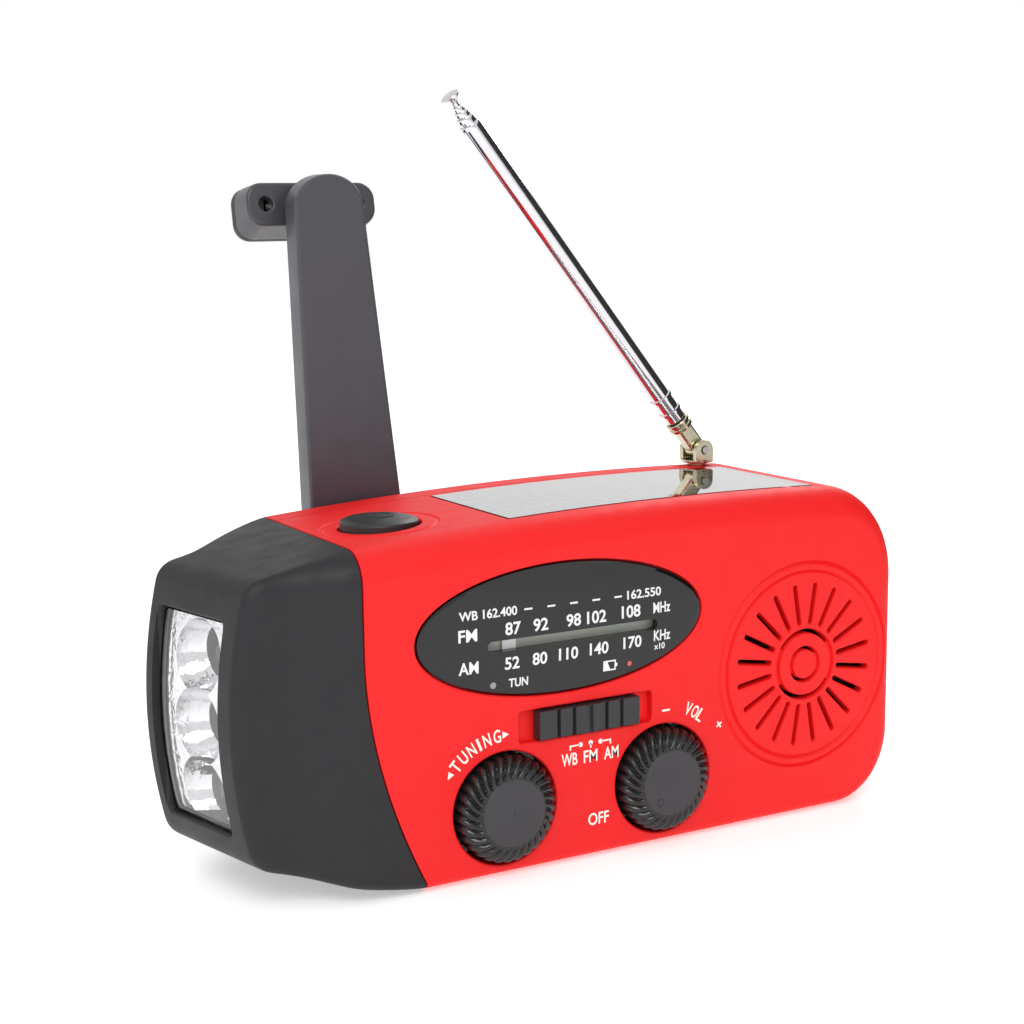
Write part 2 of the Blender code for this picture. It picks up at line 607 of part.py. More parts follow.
def front_controls():
    knob("tuning_knob", TUNING_X, -18.6)
    knob("volume_knob", VOLUME_X, -18.6)
    slider = box("band_switch_slider", (SLIDER_X - SLIDER_WIDTH / 2, -23.1, 22.2),
                 (SLIDER_X + SLIDER_WIDTH / 2, -20.8, 27.1), BLACK)
    boolean(slider, box("band_stem", (SLIDER_X - 2.0, -21.5, 23.7), (SLIDER_X + 2.0, -14.4, 25.6)), "UNION")
    for shift in (-6.6, -3.6, 3.6, 6.6):
        boolean(slider, box("cutter_groove", (SLIDER_X + shift - 0.5, -24.0, 20.0),
                            (SLIDER_X + shift + 0.5, -22.6, 29.0)))
    set_origin(slider, (SLIDER_X, -22.0, 24.65))
    button = turned("flashlight_button", (BUTTON_X, BUTTON_Y),
                    ((2.0, 50.6), (2.0, 54.6), (BUTTON_RADIUS, 54.6), (BUTTON_RADIUS, 58.4), (5.8, 59.1),
                     (3.4, BUTTON_TOP)), 24, "Z", BLACK)
    set_origin(button, (BUTTON_X, BUTTON_Y, 58.4))


# Inside the case

def electronics():
    board = box("main_board", (-25.6, -9.8, 3.0), (24.0, -8.6, 47.0), BOARD)
    boolean(board, box("cutter_board", (-40.0, -12.0, 0.0), (-24.9, -5.0, 12.0)))
    tuner = box("tuning_capacitor", (TUNING_X - 8.0, -17.4, 3.4), (TUNING_X + 8.0, -10.1, 19.4), WHITE)
    boolean(tuner, turned("tuner_shaft", (TUNING_X, KNOB_Z), ((2.4, -20.2), (2.4, -15.0)), 12, "Y"), "UNION")
    pot = box("volume_potentiometer", (VOLUME_X - 8.0, -16.4, 3.4), (VOLUME_X + 8.0, -10.1, 19.4), STEEL)
    boolean(pot, turned("pot_shaft", (VOLUME_X, KNOB_Z), ((2.4, -20.2), (2.4, -15.0)), 12, "Y"), "UNION")
    switch = box("band_switch_body", (-16.0, -15.6, 20.8), (12.8, -10.1, 28.6), STEEL)
    boolean(switch, box("cutter_switch", (SLIDER_X - 5.4, -20.0, 23.3), (SLIDER_X + 5.4, -14.0, 26.0)))
    box("button_switch", (-34.0, -7.0, 45.0), (-28.0, -1.0, 49.1), BLACK)
    prism("battery_cell", rounded((-35.6, 13.0), (-8.0, 44.0), 1.5, 2), -6.4, 1.0, "Y", BLUE)
    turned("ferrite_rod", (0.0, 50.2), ((4.0, -20.0), (4.0, 26.0)), 16, "X", FERRITE)
    ring("ferrite_coil", (0.0, 50.2), 4.35, 5.2, -6.0, 8.0, 16, "X", COPPER)
    box("port_board", (50.0, PORT_Y - 9.0, 19.0), (60.5, PORT_Y + 8.5, 20.2), BOARD)


def ports():
    sleeve = box("usb_port", (50.5, PORT_Y - 6.6, 29.1), (63.9, PORT_Y + 6.6, 34.9), STEEL)
    boolean(sleeve, box("cutter_usb_mouth", (52.0, PORT_Y - 6.0, 29.6), (70.0, PORT_Y + 6.0, 34.4)))
    sleeve = box("charging_port", (57.6, PORT_Y - 3.8, 21.9), (63.9, PORT_Y + 3.8, 24.7), STEEL)
    boolean(sleeve, box("cutter_charging_mouth", (59.0, PORT_Y - 3.3, 22.4), (70.0, PORT_Y + 3.3, 24.2)))
    flap = prism("port_cover", rounded((PORT_Y - FLAP_HALF_Y, FLAP_Z0), (PORT_Y + FLAP_HALF_Y, FLAP_Z1), 1.0, 2),
                 64.5, 65.4, "X", RUBBER)
    boolean(flap, box("port_plug", (64.0, PORT_Y - 5.4, 30.3), (65.0, PORT_Y + 5.4, 33.5)), "UNION")
    set_origin(flap, (65.4, PORT_Y + FLAP_HALF_Y, 28.0))


def speaker():
    centre = (SPEAKER_X, SPEAKER_Z)
    ring("speaker_frame", centre, 15.4, 17.6, -19.6, -12.4, 24, "Y", STEEL)
    turned("speaker_cone", centre, ((5.0, -12.2), (15.0, -18.0), (15.0, -18.5), (5.0, -13.2)), 24, "Y", FERRITE)
    turned("speaker_magnet", centre, ((9.0, -11.9), (9.0, -4.2)), 20, "Y", STEEL)


def solar():
    under_arch("solar_cover", PANEL_X0, PANEL_X1, PANEL_Y0, PANEL_Y1, -0.1, PANEL_THICK - 0.1, CLEAR)
    under_arch("solar_cell", PANEL_X0 + 1, PANEL_X1 - 1, PANEL_Y0 + 1, PANEL_Y1 - 1, 1.25, 1.25 + CELL_THICK, BLUE)


# Crank

def gear_outline(teeth, turn):
    """Straight-flanked teeth, thinned for backlash."""
    pitch = MODULE * teeth / 2
    points = []
    for k in range(teeth):
        middle = turn + 2 * math.pi * k / teeth
        step = math.pi / teeth
        for radius, share in ((pitch - 1.2, -0.6), (pitch + 0.85, -0.2),
                              (pitch + 0.85, 0.2), (pitch - 1.2, 0.6)):
            angle = middle + share * step
            points.append((radius * math.cos(angle), radius * math.sin(angle)))
    return points


def gears():
    """Hub gear, stepped idler and generator pinion, all turning about Y."""
    idler = (AXLE_DISTANCE * math.cos(IDLER_ANGLE), AXLE_DISTANCE * math.sin(IDLER_ANGLE))
    generator = (AXLE_DISTANCE * math.cos(GENERATOR_ANGLE), AXLE_DISTANCE * math.sin(GENERATOR_ANGLE))
    hub_axis = empty("drive_axis", (HUB_X, 0.0, HUB_Z))
    idler_axis = empty("idler_axis", (HUB_X + idler[0], 0.0, HUB_Z + idler[1]))
    generator_axis = empty("generator_axis", (HUB_X + idler[0] + generator[0], 0.0,
                                              HUB_Z + idler[1] + generator[1]))
    half_small, half_big = math.pi / SMALL_TEETH, math.pi / BIG_TEETH
    drive = prism("drive_gear", gear_outline(BIG_TEETH, IDLER_ANGLE), 12.0, 14.4, "Y", WHITE)
    boolean(drive, turned("cutter_drive_bore", (0.0, 0.0), ((2.7, 8.0), (2.7, 20.0)), 16, "Y"))
    hang(hub_axis, drive)
    small = prism("idler_pinion", gear_outline(SMALL_TEETH, IDLER_ANGLE + math.pi + half_small), 9.0, 14.4, "Y")
    big = prism("idler_gear", gear_outline(BIG_TEETH, GENERATOR_ANGLE), 7.6, 10.0, "Y", WHITE)
    bore = turned("cutter_idler_bore", (0.0, 0.0), ((1.7, 0.0), (1.7, 20.0)), 12, "Y")
    boolean(big, small, "UNION")
    boolean(big, bore)
    hang(idler_axis, big, small, bore)
    pinion = prism("generator_pinion", gear_outline(SMALL_TEETH, GENERATOR_ANGLE + math.pi + half_small),
                   7.6, 10.4, "Y", BRASS)
    boolean(pinion, turned("cutter_pinion_bore", (0.0, 0.0), ((1.0, 0.0), (1.0, 20.0)), 10, "Y"))
    hang(generator_axis, pinion, bpy.data.objects["cutter_pinion_bore"])
    hang(hub_axis, bpy.data.objects["cutter_drive_bore"])
    body = turned("generator", (0.0, 0.0), ((11.0, -7.6), (11.0, 5.2)), 24, "Y", STEEL)
    shaft = turned("generator_shaft", (0.0, 0.0), ((0.8, 4.0), (0.8, 11.0)), 10, "Y")
    boolean(body, shaft, "UNION")
    hang(generator_axis, body, shaft)
    plate = box("gearbox_plate", (HUB_X - 6.0, 5.6, 12.0), (30.0, 6.8, 45.0), STEEL)
    hole = turned("cutter_plate_shaft", (generator_axis.location.x / MM, generator_axis.location.z / MM),
                  ((3.0, 0.0), (3.0, 10.0)), 12, "Y")
    boolean(plate, hole)
    post = turned("idler_axle", (idler_axis.location.x / MM, idler_axis.location.z / MM),
                  ((1.4, 6.2), (1.4, 15.0)), 12, "Y")
    boolean(plate, post, "UNION")


def crank():
    axis = empty("crank_axis", (HUB_X, 0.0, HUB_Z), (0.0, LEAN, 0.0))
    hub = turned("crank_hub", (0.0, 0.0),
                 ((2.4, 11.0), (2.4, 14.7), (3.0, 14.7), (3.0, RECESS_FLOOR_Y + GAP), (HUB_RADIUS, RECESS_FLOOR_Y + GAP),
                  (HUB_RADIUS, 21.4), (HUB_RADIUS - 0.5, 21.9)), 32, "Y", BLACK)
    ears = []
    for side, name in ((-1, "left"), (1, "right")):
        near, far = sorted((side * (ARM_NECK_HALF + GAP), side * (ARM_NECK_HALF + 3.2)))
        outline = [(20.0, 5.6), (20.0, 12.4)]
        outline += [(FOLD_Y + a, FOLD_U + b) for a, b in circle((0, 0), 3.2, 6, math.pi / 2, -math.pi * 7 / 6)]
        ear = prism(f"ear_{name}", outline, near, far, "X")
        boolean(hub, ear, "UNION")
        ears.append(ear)
    bore = turned("cutter_hinge", (FOLD_Y, FOLD_U), ((1.3, -20.0), (1.3, 20.0)), 12, "X")
    boolean(hub, bore)
    pin = turned("arm_hinge_pin", (FOLD_Y, FOLD_U), ((1.2, -ARM_NECK_HALF - 3.0), (1.2, ARM_NECK_HALF + 3.0)), 12,
                 "X", STEEL)
    hang(axis, hub, bore, pin, *ears)
    crank_arm(axis)
    grip(axis)


def crank_arm(axis):
    """A flat tapered arm with a round tip and a narrow hinged root."""
    shoulder = FOLD_U + 4.2
    outline = [(ARM_NECK_HALF, FOLD_U), (ARM_NECK_HALF, shoulder), (ARM_ROOT_HALF - 0.8, shoulder),
               (ARM_ROOT_HALF, shoulder + 0.8)]
    tip_z = ARM_TIP - ARM_TIP_HALF * 0.85
    outline += [(ARM_TIP_HALF * a, tip_z + ARM_TIP_HALF * 0.85 * b)
                for a, b in circle((0, 0), 1.0, 12, 0.0, math.pi) + [(-1.0, 0.0)]]
    outline += [(-ARM_ROOT_HALF, shoulder + 0.8), (-ARM_ROOT_HALF + 0.8, shoulder), (-ARM_NECK_HALF, shoulder),
                (-ARM_NECK_HALF, FOLD_U)]
    arm = prism("crank_arm", outline, ARM_FRONT_Y, ARM_BACK_Y, "Y", BLACK)
    half = (ARM_BACK_Y - ARM_FRONT_Y) / 2
    knuckle = turned("arm_knuckle", (FOLD_Y, FOLD_U), ((half, -ARM_NECK_HALF), (half, ARM_NECK_HALF)), 16, "X")
    boolean(arm, knuckle, "UNION")
    bore = turned("cutter_arm_hinge", (FOLD_Y, FOLD_U), ((1.35, -20.0), (1.35, 20.0)), 12, "X")
    boolean(arm, bore)
    socket = turned("cutter_swivel_hole", (0.0, GRIP_U), ((3.4, ARM_FRONT_Y + 2.0), (3.4, 40.0)), 20, "Y")
    boolean(arm, socket)
    hang(axis, arm, knuckle, bore, socket)


def grip_ring(y):
    """The grip's outline at one depth: it grows from its near face to its middle."""
    share = min(1.0, (y + GRIP_NEAR) / (GRIP_MIDDLE + GRIP_NEAR))
    low = GRIP_FACE_LOW + (GRIP_BELLY_LOW - GRIP_FACE_LOW) * share
    high = GRIP_FACE_HIGH + (GRIP_BELLY_HIGH - GRIP_FACE_HIGH) * share
    return [(x, y, z) for x, z in rounded((-GRIP_HALF_LENGTH, low), (GRIP_HALF_LENGTH, high), 3.0)]


def grip(axis):
    level = empty("grip_level", (0.0, 0.0, GRIP_U), (0.0, -LEAN, 0.0), axis)
    swivel = turned("grip_swivel", (0.0, 0.0), ((3.1, ARM_FRONT_Y + 2.3), (3.1, ARM_BACK_Y + 0.1)), 16, "Y", BLACK)
    outline = [(ARM_BACK_Y - 1.0, 1.8), (ARM_BACK_Y - 1.0, -1.8)]
    outline += [(GRIP_Y + a, b) for a, b in circle((0, 0), 2.2, 8, -math.pi / 2, math.pi)]
    outline.append((GRIP_Y, 2.2))
    tongue = prism("swivel_tongue", outline, -2.2, 2.2, "X")
    boolean(swivel, tongue, "UNION")
    bore = turned("cutter_grip_hinge", (GRIP_Y, 0.0), ((1.1, -20.0), (1.1, 20.0)), 12, "X")
    boolean(swivel, bore)
    pin = turned("grip_pin", (GRIP_Y, 0.0), ((1.0, -8.0), (1.0, 8.0)), 12, "X", STEEL)
    hang(level, swivel, tongue, bore, pin)
    tilt = empty("grip_tilt", (0.0, GRIP_Y, 0.0), (GRIP_TILT, 0.0, 0.0), level)
    slot = box("cutter_grip_slot", (-2.5, -10.0, -10.0), (2.5, 2.6, 10.0))
    hole = turned("cutter_grip_pin", (0.0, 0.0), ((1.15, -8.3), (1.15, 8.3)), 12, "X")
    for name, near, far in (("grip_front_shell", -GRIP_NEAR, GRIP_MIDDLE), ("grip_rear_shell", GRIP_MIDDLE + GAP, GRIP_FAR)):
        shell = make(name, *stacked([grip_ring(near), grip_ring(far)]), BLACK)
        modifier = shell.modifiers.new("edge", "BEVEL")
        modifier.width = 0.7 * MM
        modifier.segments = 1
        modifier.limit_method = "ANGLE"
        modifier.angle_limit = math.radians(60.0)
        boolean(shell, slot)
        if near < 0:
            boolean(shell, hole)
            for side in (-1, 1):
                screw_hole = turned(f"cutter_grip_screw_{side}", (side * GRIP_HOLE_X, 0.0), ((1.3, -6.0), (1.3, -0.6)), 12,
                                    "Y")
                boolean(shell, screw_hole)
                hang(tilt, screw_hole)
        hang(tilt, shell)
    hang(tilt, slot, hole)


# Antenna

def antenna():
    centre = (ANTENNA_X, ANTENNA_Y)
    base = turned("antenna_base", centre,
                  ((2.5, 54.4), (2.5, 56.3), (1.85, 56.3), (1.85, 59.8), (3.1, 59.8), (3.1, 60.4)), 16, "Z", BRASS)
    ears = []
    for side in (-1, 1):
        low, high = sorted((ANTENNA_Y + side * 1.75, ANTENNA_Y + side * 3.0))
        outline = [(ANTENNA_X - 2.0, 60.0), (ANTENNA_X + 2.0, 60.0)]
        outline += [(ANTENNA_X + a, ANTENNA_Z + b) for a, b in circle((0, 0), 2.0, 6, 0.0, math.pi)]
        outline.append((ANTENNA_X - 2.0, ANTENNA_Z))
        ears.append(prism(f"antenna_ear_{side}", outline, low, high, "Y"))
        boolean(base, ears[-1], "UNION")
    boolean(base, turned("cutter_antenna_pin", (ANTENNA_X, ANTENNA_Z), ((0.85, 10.0), (0.85, 24.0)), 10, "Y"))
    turned("antenna_pin", (ANTENNA_X, ANTENNA_Z), ((0.75, 13.9), (0.75, 20.5)), 10, "Y", STEEL)
    axis = empty("antenna_axis", (ANTENNA_X, ANTENNA_Y, ANTENNA_Z), (0.0, ANTENNA_LEAN, 0.0))
    knuckle = prism("antenna_knuckle", circle((0.0, 0.0), 1.8, 12), -1.5, 1.5, "Y", BRASS)
    block = prism("knuckle_block", rounded((-1.6, -1.5), (1.6, 1.5), 0.5, 1), 0.4, 6.5, "Z")
    collar = turned("knuckle_collar", (0.0, 0.0), ((2.4, 5.8), (2.4, 7.6)), 16, "Z")
    bore = turned("cutter_knuckle", (0.0, 0.0), ((0.9, -4.0), (0.9, 4.0)), 10, "Y")
    boolean(knuckle, block, "UNION")
    boolean(knuckle, collar, "UNION")
    boolean(knuckle, bore)
    hang(axis, knuckle, block, collar, bore)
    for k, (radius, end) in enumerate(zip(TUBE_OUTER, TUBE_END)):
        tube = ring(f"antenna_tube_{k + 1}", (0.0, 0.0), radius - TUBE_WALL, radius, 8.0 + k * 0.6, end, 12, "Z",
                    CHROME)
        hang(axis, tube)
    rod = turned("antenna_rod", (0.0, 0.0),
                 ((ROD_RADIUS, 11.0), (ROD_RADIUS, TIP_END - 1.6), (1.5, TIP_END - 1.0), (1.9, TIP_END - 0.4),
                  (1.2, TIP_END)), 12, "Z", CHROME)
    hang(axis, rod)


def case_screws():
    for k, (x, z) in enumerate(SCREWS):
        turned(f"case_screw_{k + 1}", (x, z), ((1.1, 4.0), (1.1, 17.3), (2.5, 17.3), (2.5, 18.6), (1.6, 19.2)), 12,
               "Y", STEEL)


def build():
    clear_scene()
    front_case()
    rear_case()
    flashlight_cap()
    flashlight()
    dial()
    front_controls()
    electronics()
    ports()
    speaker()
    solar()
    gears()
    crank()
    antenna()
    case_screws()


build()
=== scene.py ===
# %% [markdown]
# # Emergency radio
# A pocket radio with a dial, two knobs, a band switch, a speaker, a solar panel, a flashlight end,
# a hand crank and a telescopic antenna. The frame already holds every part at its real place.
# This lesson makes the visible surfaces fine enough to be seen close up, and gives each its finish.

import json
import math

import bmesh
import bpy
from mathutils import Matrix, Vector

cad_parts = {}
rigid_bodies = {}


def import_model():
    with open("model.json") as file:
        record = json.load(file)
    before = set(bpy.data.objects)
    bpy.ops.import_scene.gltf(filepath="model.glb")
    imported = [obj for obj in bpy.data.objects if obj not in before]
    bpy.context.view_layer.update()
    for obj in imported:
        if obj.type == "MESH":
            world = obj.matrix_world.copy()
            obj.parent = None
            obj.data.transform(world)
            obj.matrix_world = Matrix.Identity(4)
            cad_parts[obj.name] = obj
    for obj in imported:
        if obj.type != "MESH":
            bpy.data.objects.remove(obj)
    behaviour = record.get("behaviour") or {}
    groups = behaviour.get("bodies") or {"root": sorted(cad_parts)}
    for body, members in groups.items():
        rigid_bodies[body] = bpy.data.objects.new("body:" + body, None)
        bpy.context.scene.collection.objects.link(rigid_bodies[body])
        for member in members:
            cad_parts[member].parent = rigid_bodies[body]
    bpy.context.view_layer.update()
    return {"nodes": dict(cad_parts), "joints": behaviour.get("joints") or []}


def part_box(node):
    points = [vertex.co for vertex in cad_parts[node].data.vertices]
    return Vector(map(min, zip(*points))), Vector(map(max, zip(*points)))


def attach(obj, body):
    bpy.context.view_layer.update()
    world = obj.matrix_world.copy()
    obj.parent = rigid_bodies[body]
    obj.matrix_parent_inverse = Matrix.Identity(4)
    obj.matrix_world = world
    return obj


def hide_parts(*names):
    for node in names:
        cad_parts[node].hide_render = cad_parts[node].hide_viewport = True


for leftover in list(bpy.data.objects):
    bpy.data.objects.remove(leftover, do_unlink=True)
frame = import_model()

# %% [markdown]
# ## Millimetres and joints
# The frame is in metres. A radio is drawn in millimetres, so sizes here are in millimetres and one
# function turns them into metres when a mesh is made. Places come from the frame's own boxes and joints,
# so that nothing has to be fitted by eye.

# %% Places from the frame
MM = 0.001
TURN = 2 * math.pi


def corners(node):
    low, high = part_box(node)
    return low / MM, high / MM


def middle(node):
    low, high = corners(node)
    return (low + high) / 2


joints = {joint["name"]: joint for joint in frame["joints"]}


def joint_place(name):
    return Vector(joints[name]["pos_m"]) / MM


CASE_FRONT = corners("front_case")[0].y
SPLIT_Y = corners("front_case")[1].y
CASE_BACK = corners("rear_case")[1].y
CASE_RIGHT = corners("rear_case")[1].x
TUNING, VOLUME = joint_place("tuning_turn"), joint_place("volume_turn")
SPEAKER, BUTTON, DIAL = middle("speaker_frame"), middle("flashlight_button"), middle("dial_window")
HUB, ANTENNA = joint_place("crank_turn"), joint_place("antenna_tilt")
print("case front", round(CASE_FRONT, 2), "back", round(CASE_BACK, 2), "right", round(CASE_RIGHT, 2))

# %% [markdown]
# ## Meshes from rings
# Most moulded parts here can be made as a stack of rings with the same number of points: a prism is two
# rings, a turned part is many, and a rounded edge is a few rings that step inwards. One function skins
# the stack, so every part comes out closed.

# %% Ring helpers


def spaced(start, end, steps):
    return [start + (end - start) * k / steps for k in range(steps + 1)]


def linked(name, data):
    piece = bpy.data.objects.new(name, data)
    bpy.context.scene.collection.objects.link(piece)
    return piece


def from_shape(name, shape):
    mesh = bpy.data.meshes.new(name)
    shape.to_mesh(mesh)
    shape.free()
    return linked(name, mesh)


def make(name, points, faces):
    mesh = bpy.data.meshes.new(name)
    mesh.from_pydata([Vector(point) * MM for point in points], [], faces)
    shape = bmesh.new()
    shape.from_mesh(mesh)
    bmesh.ops.recalc_face_normals(shape, faces=shape.faces)
    shape.to_mesh(mesh)
    shape.free()
    return linked(name, mesh)


def stacked(rings, looped=False):
    count = len(rings[0])
    points = [point for ring in rings for point in ring]
    faces = []
    if not looped:
        faces = [tuple(range(count))[::-1], tuple(range(len(points) - count, len(points)))]
    for level in range(len(rings) if looped else len(rings) - 1):
        low, high = level * count, (level + 1) % len(rings) * count
        for k in range(count):
            after = (k + 1) % count
            faces.append((low + k, low + after, high + after, high + k))
    return points, faces


def place(a, b, level, axis):
    return {"X": (level, a, b), "Y": (a, level, b), "Z": (a, b, level)}[axis]


def prism(name, outline, low, high, axis):
    return make(name, *stacked([[place(a, b, level, axis) for a, b in outline] for level in (low, high)]))


def box(name, low, high):
    outline = [(low[0], low[1]), (high[0], low[1]), (high[0], high[1]), (low[0], high[1])]
    return prism(name, outline, low[2], high[2], "Z")


def circle(centre, radius, sides, start=0.0, sweep=TURN):
    angles = [start + sweep * k / sides for k in range(sides)]
    return [(centre[0] + radius * math.cos(a), centre[1] + radius * math.sin(a)) for a in angles]


def rounded(low, high, radius, sides=6):
    outline = []
    for k, (x, y) in enumerate(((high[0], high[1]), (low[0], high[1]), (low[0], low[1]), (high[0], low[1]))):
        cx = x - radius if x == high[0] else x + radius
        cy = y - radius if y == high[1] else y + radius
        angles = [math.pi / 2 * (k + step / sides) for step in range(sides + 1)]
        outline += [(cx + radius * math.cos(a), cy + radius * math.sin(a)) for a in angles]
    return outline


def turned(name, centre, profile, sides, axis):
    """A solid turned about an axis, from (radius, level) pairs."""
    return turned_ring(name, centre, profile, sides, axis, looped=False)


def turned_ring(name, centre, loop, sides, axis, looped=True):
    """A ring whose section is a closed loop of (radius, level) pairs."""
    rings = [[place(a, b, level, axis) for a, b in circle(centre, radius, sides)] for radius, level in loop]
    return make(name, *stacked(rings, looped))


def arc(centre, radius, start, end, steps):
    angles = spaced(start, end, steps)
    return [(centre[0] + radius * math.cos(a), centre[1] + radius * math.sin(a)) for a in angles]


def inward_normals(outline):
    normals = []
    for k, here in enumerate(outline):
        before, after = Vector(outline[k - 1]), Vector(outline[(k + 1) % len(outline)])
        along = ((Vector(here) - before).normalized() + (after - Vector(here)).normalized()).normalized()
        normals.append(Vector((-along.y, along.x)))
    return normals


def grown(outline, by):
    return [(a - n.x * by, b - n.y * by) for (a, b), n in zip(outline, inward_normals(outline))]


print("helpers ready")

# %% [markdown]
# ## Cutting, softening and settling
# A moulded edge is never sharp: it catches a thin line of light. Openings get that from their cutter,
# whose mouth flares like the edge it leaves behind, and small parts get it from a Bevel modifier.
# When a piece is finished its modifiers are applied, flat faces keep flat shading through a Weighted
# Normal modifier, and it is tied to the body that it moves with.

# %% Modifier helpers
CUT_OVERLAP, CUT_REACH, LIP_STEPS = 0.004, 1.5, 4


def cut(target, *cutters, operation="DIFFERENCE", overlapping=False):
    for cutter in cutters:
        modifier = target.modifiers.new(cutter.name, "BOOLEAN")
        modifier.operation = operation
        modifier.solver = "EXACT"
        modifier.use_self = overlapping
        modifier.object = cutter
    apply_modifiers(target)
    for cutter in cutters:
        bpy.data.objects.remove(cutter, do_unlink=True)


def apply_modifiers(piece):
    graph = bpy.context.evaluated_depsgraph_get()
    mesh = bpy.data.meshes.new_from_object(piece.evaluated_get(graph))
    piece.modifiers.clear()
    piece.data = mesh


def soften(piece, width, segments=3, angle=35.0):
    modifier = piece.modifiers.new("soft edges", "BEVEL")
    modifier.width = width * MM
    modifier.segments = segments
    modifier.limit_method = "ANGLE"
    modifier.angle_limit = math.radians(angle)
    modifier.use_clamp_overlap = False
    apply_modifiers(piece)


def opening(name, outline, surface, inward, depth, lip, axis):
    """A cutter that leaves a rounded edge where it enters a flat surface."""
    levels = [(lip, surface - inward * CUT_REACH)]
    for k in range(LIP_STEPS + 1):
        angle = math.pi / 2 * (1 - k / LIP_STEPS)
        depth_here = lip * (1 - math.sin(angle)) - CUT_OVERLAP
        levels.append((lip * (1 - math.cos(angle)), surface + inward * depth_here))
    levels.append((0.0, surface + inward * depth))
    rings = [[place(a, b, level, axis) for a, b in grown(outline, by)] for by, level in levels]
    return make(name, *stacked(rings))


def finish_piece(piece, body, slot, *replaced, materials=(), angle=32.0):
    """Applies what is left, sets the shading and ties the piece to its body."""
    for material in materials:
        piece.data.materials.append(material)
    piece.data.shade_smooth()
    piece.data.set_sharp_from_angle(angle=math.radians(angle))
    modifier = piece.modifiers.new("flat faces", "WEIGHTED_NORMAL")
    modifier.keep_sharp = True
    apply_modifiers(piece)
    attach(piece, body)
    if replaced:
        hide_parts(*replaced)
    print(f"{piece.name}: {len(piece.data.polygons)} faces on {body}")
    return piece


def moved(piece, matrix):
    piece.data.transform(matrix)
    return piece


def shifted(point):
    return Matrix.Translation(Vector(point) * MM)


def joined(name, pieces):
    """One mesh from several pieces that are closed in themselves."""
    shape = bmesh.new()
    for piece in pieces:
        shape.from_mesh(piece.data)
        bpy.data.objects.remove(piece, do_unlink=True)
    return from_shape(name, shape)


def refined_copy(name, node, width, segments=2):
    """A copy of a small frame part with merged faces and softened edges."""
    shape = bmesh.new()
    shape.from_mesh(frame["nodes"][node].data)
    bmesh.ops.remove_doubles(shape, verts=shape.verts, dist=0.002 * MM)
    flat = math.radians(1.0)
    bmesh.ops.dissolve_limit(shape, angle_limit=flat, verts=shape.verts, edges=shape.edges)
    piece = from_shape(name, shape)
    soften(piece, width, segments, 40.0)
    return piece


print("modifier helpers ready")

# %% [markdown]
# ## Finishes
# Moulded plastic is not one flat colour. Its mould is spark-etched, so the surface has a fine grain; the
# pigment drifts a little from place to place; and handling polishes some areas more than others. Each
# finish is therefore a shader with three noises: a broad one for colour, a middling one for roughness
# and a fine one for the grain. They read the object's own coordinates, so they stay put as it moves.

# %% Finish helper


def grey(value):
    return (value, value, value)


def add_node(tree, kind, sockets=(), **settings):
    """A new node. Each socket is either linked to another node's output or given a value."""
    node = tree.nodes.new(kind)
    for setting, value in settings.items():
        setattr(node, setting, value)
    for socket, value in dict(sockets).items():
        if isinstance(value, bpy.types.NodeSocket):
            tree.links.new(value, node.inputs[socket])
        else:
            node.inputs[socket].default_value = value
    return node


COLOUR_SCALE, WEAR_SCALE, BUMP_STRENGTH, LEAST_ROUGHNESS = 90.0, 260.0, 0.6, 0.02


def finish(name, colour, roughness, grain=0.12, depth=0.01, drift=0.08, uneven=0.05, metallic=0.0, **extra):
    """A shader for one finish. Grain is its size in millimetres and depth its height."""
    material = bpy.data.materials.new(name)
    material.use_nodes = True
    tree = material.node_tree
    shader = tree.nodes["Principled BSDF"]
    shader.inputs["Metallic"].default_value = metallic
    for socket, value in extra.items():
        shader.inputs[socket.replace("_", " ")].default_value = value
    own_place = tree.nodes.new("ShaderNodeTexCoord").outputs["Object"]

    def noise(scale, detail=3.0):
        return add_node(tree, "ShaderNodeTexNoise",
                        {"Scale": scale, "Detail": detail, "Vector": own_place}).outputs["Fac"]

    darker = (*[c * (1 - drift) for c in colour], 1.0)
    lighter = (*[min(1.0, c * (1 + drift)) for c in colour], 1.0)
    blend = add_node(tree, "ShaderNodeMix", {"A": darker, "B": lighter, "Factor": noise(COLOUR_SCALE)},
                     data_type="RGBA")
    spread = add_node(tree, "ShaderNodeMapRange",
                      {"From Min": 0.3, "From Max": 0.7, "To Min": max(LEAST_ROUGHNESS, roughness - uneven),
                       "To Max": roughness + uneven, "Value": noise(WEAR_SCALE)})
    bump = add_node(tree, "ShaderNodeBump", {"Strength": BUMP_STRENGTH, "Distance": depth * MM,
                                             "Height": noise(1.0 / (grain * MM), 2.0)})
    for output, socket in ((blend.outputs["Result"], "Base Color"), (spread.outputs["Result"], "Roughness"),
                           (bump.outputs["Normal"], "Normal")):
        tree.links.new(output, shader.inputs[socket])
    return material


# %% The finishes
RED = finish("red_soft_touch", (0.84, 0.008, 0.009), 0.55, grain=0.16, depth=0.016, drift=0.025,
             Specular_IOR_Level=0.35)
CAP_BLACK = finish("cap_soft_black", (0.012, 0.012, 0.0145), 0.52, grain=0.16, depth=0.014, drift=0.1,
                   Specular_IOR_Level=0.4)
ARM_BLACK = finish("arm_satin_black", (0.058, 0.056, 0.067), 0.34, grain=0.2, depth=0.02, drift=0.1)
GRIP_BLACK = finish("grip_satin_black", (0.05, 0.048, 0.056), 0.32, grain=0.2, depth=0.02, drift=0.1)
KNOB_RIDGE = finish("knob_gloss_black", (0.012, 0.012, 0.013), 0.2, grain=0.3, depth=0.01, uneven=0.06)
KNOB_DISC = finish("knob_satin_disc", (0.034, 0.034, 0.04), 0.46, grain=0.14, depth=0.01)
SLIDER_BLACK = finish("slider_black", (0.02, 0.02, 0.022), 0.4, grain=0.16, depth=0.01)
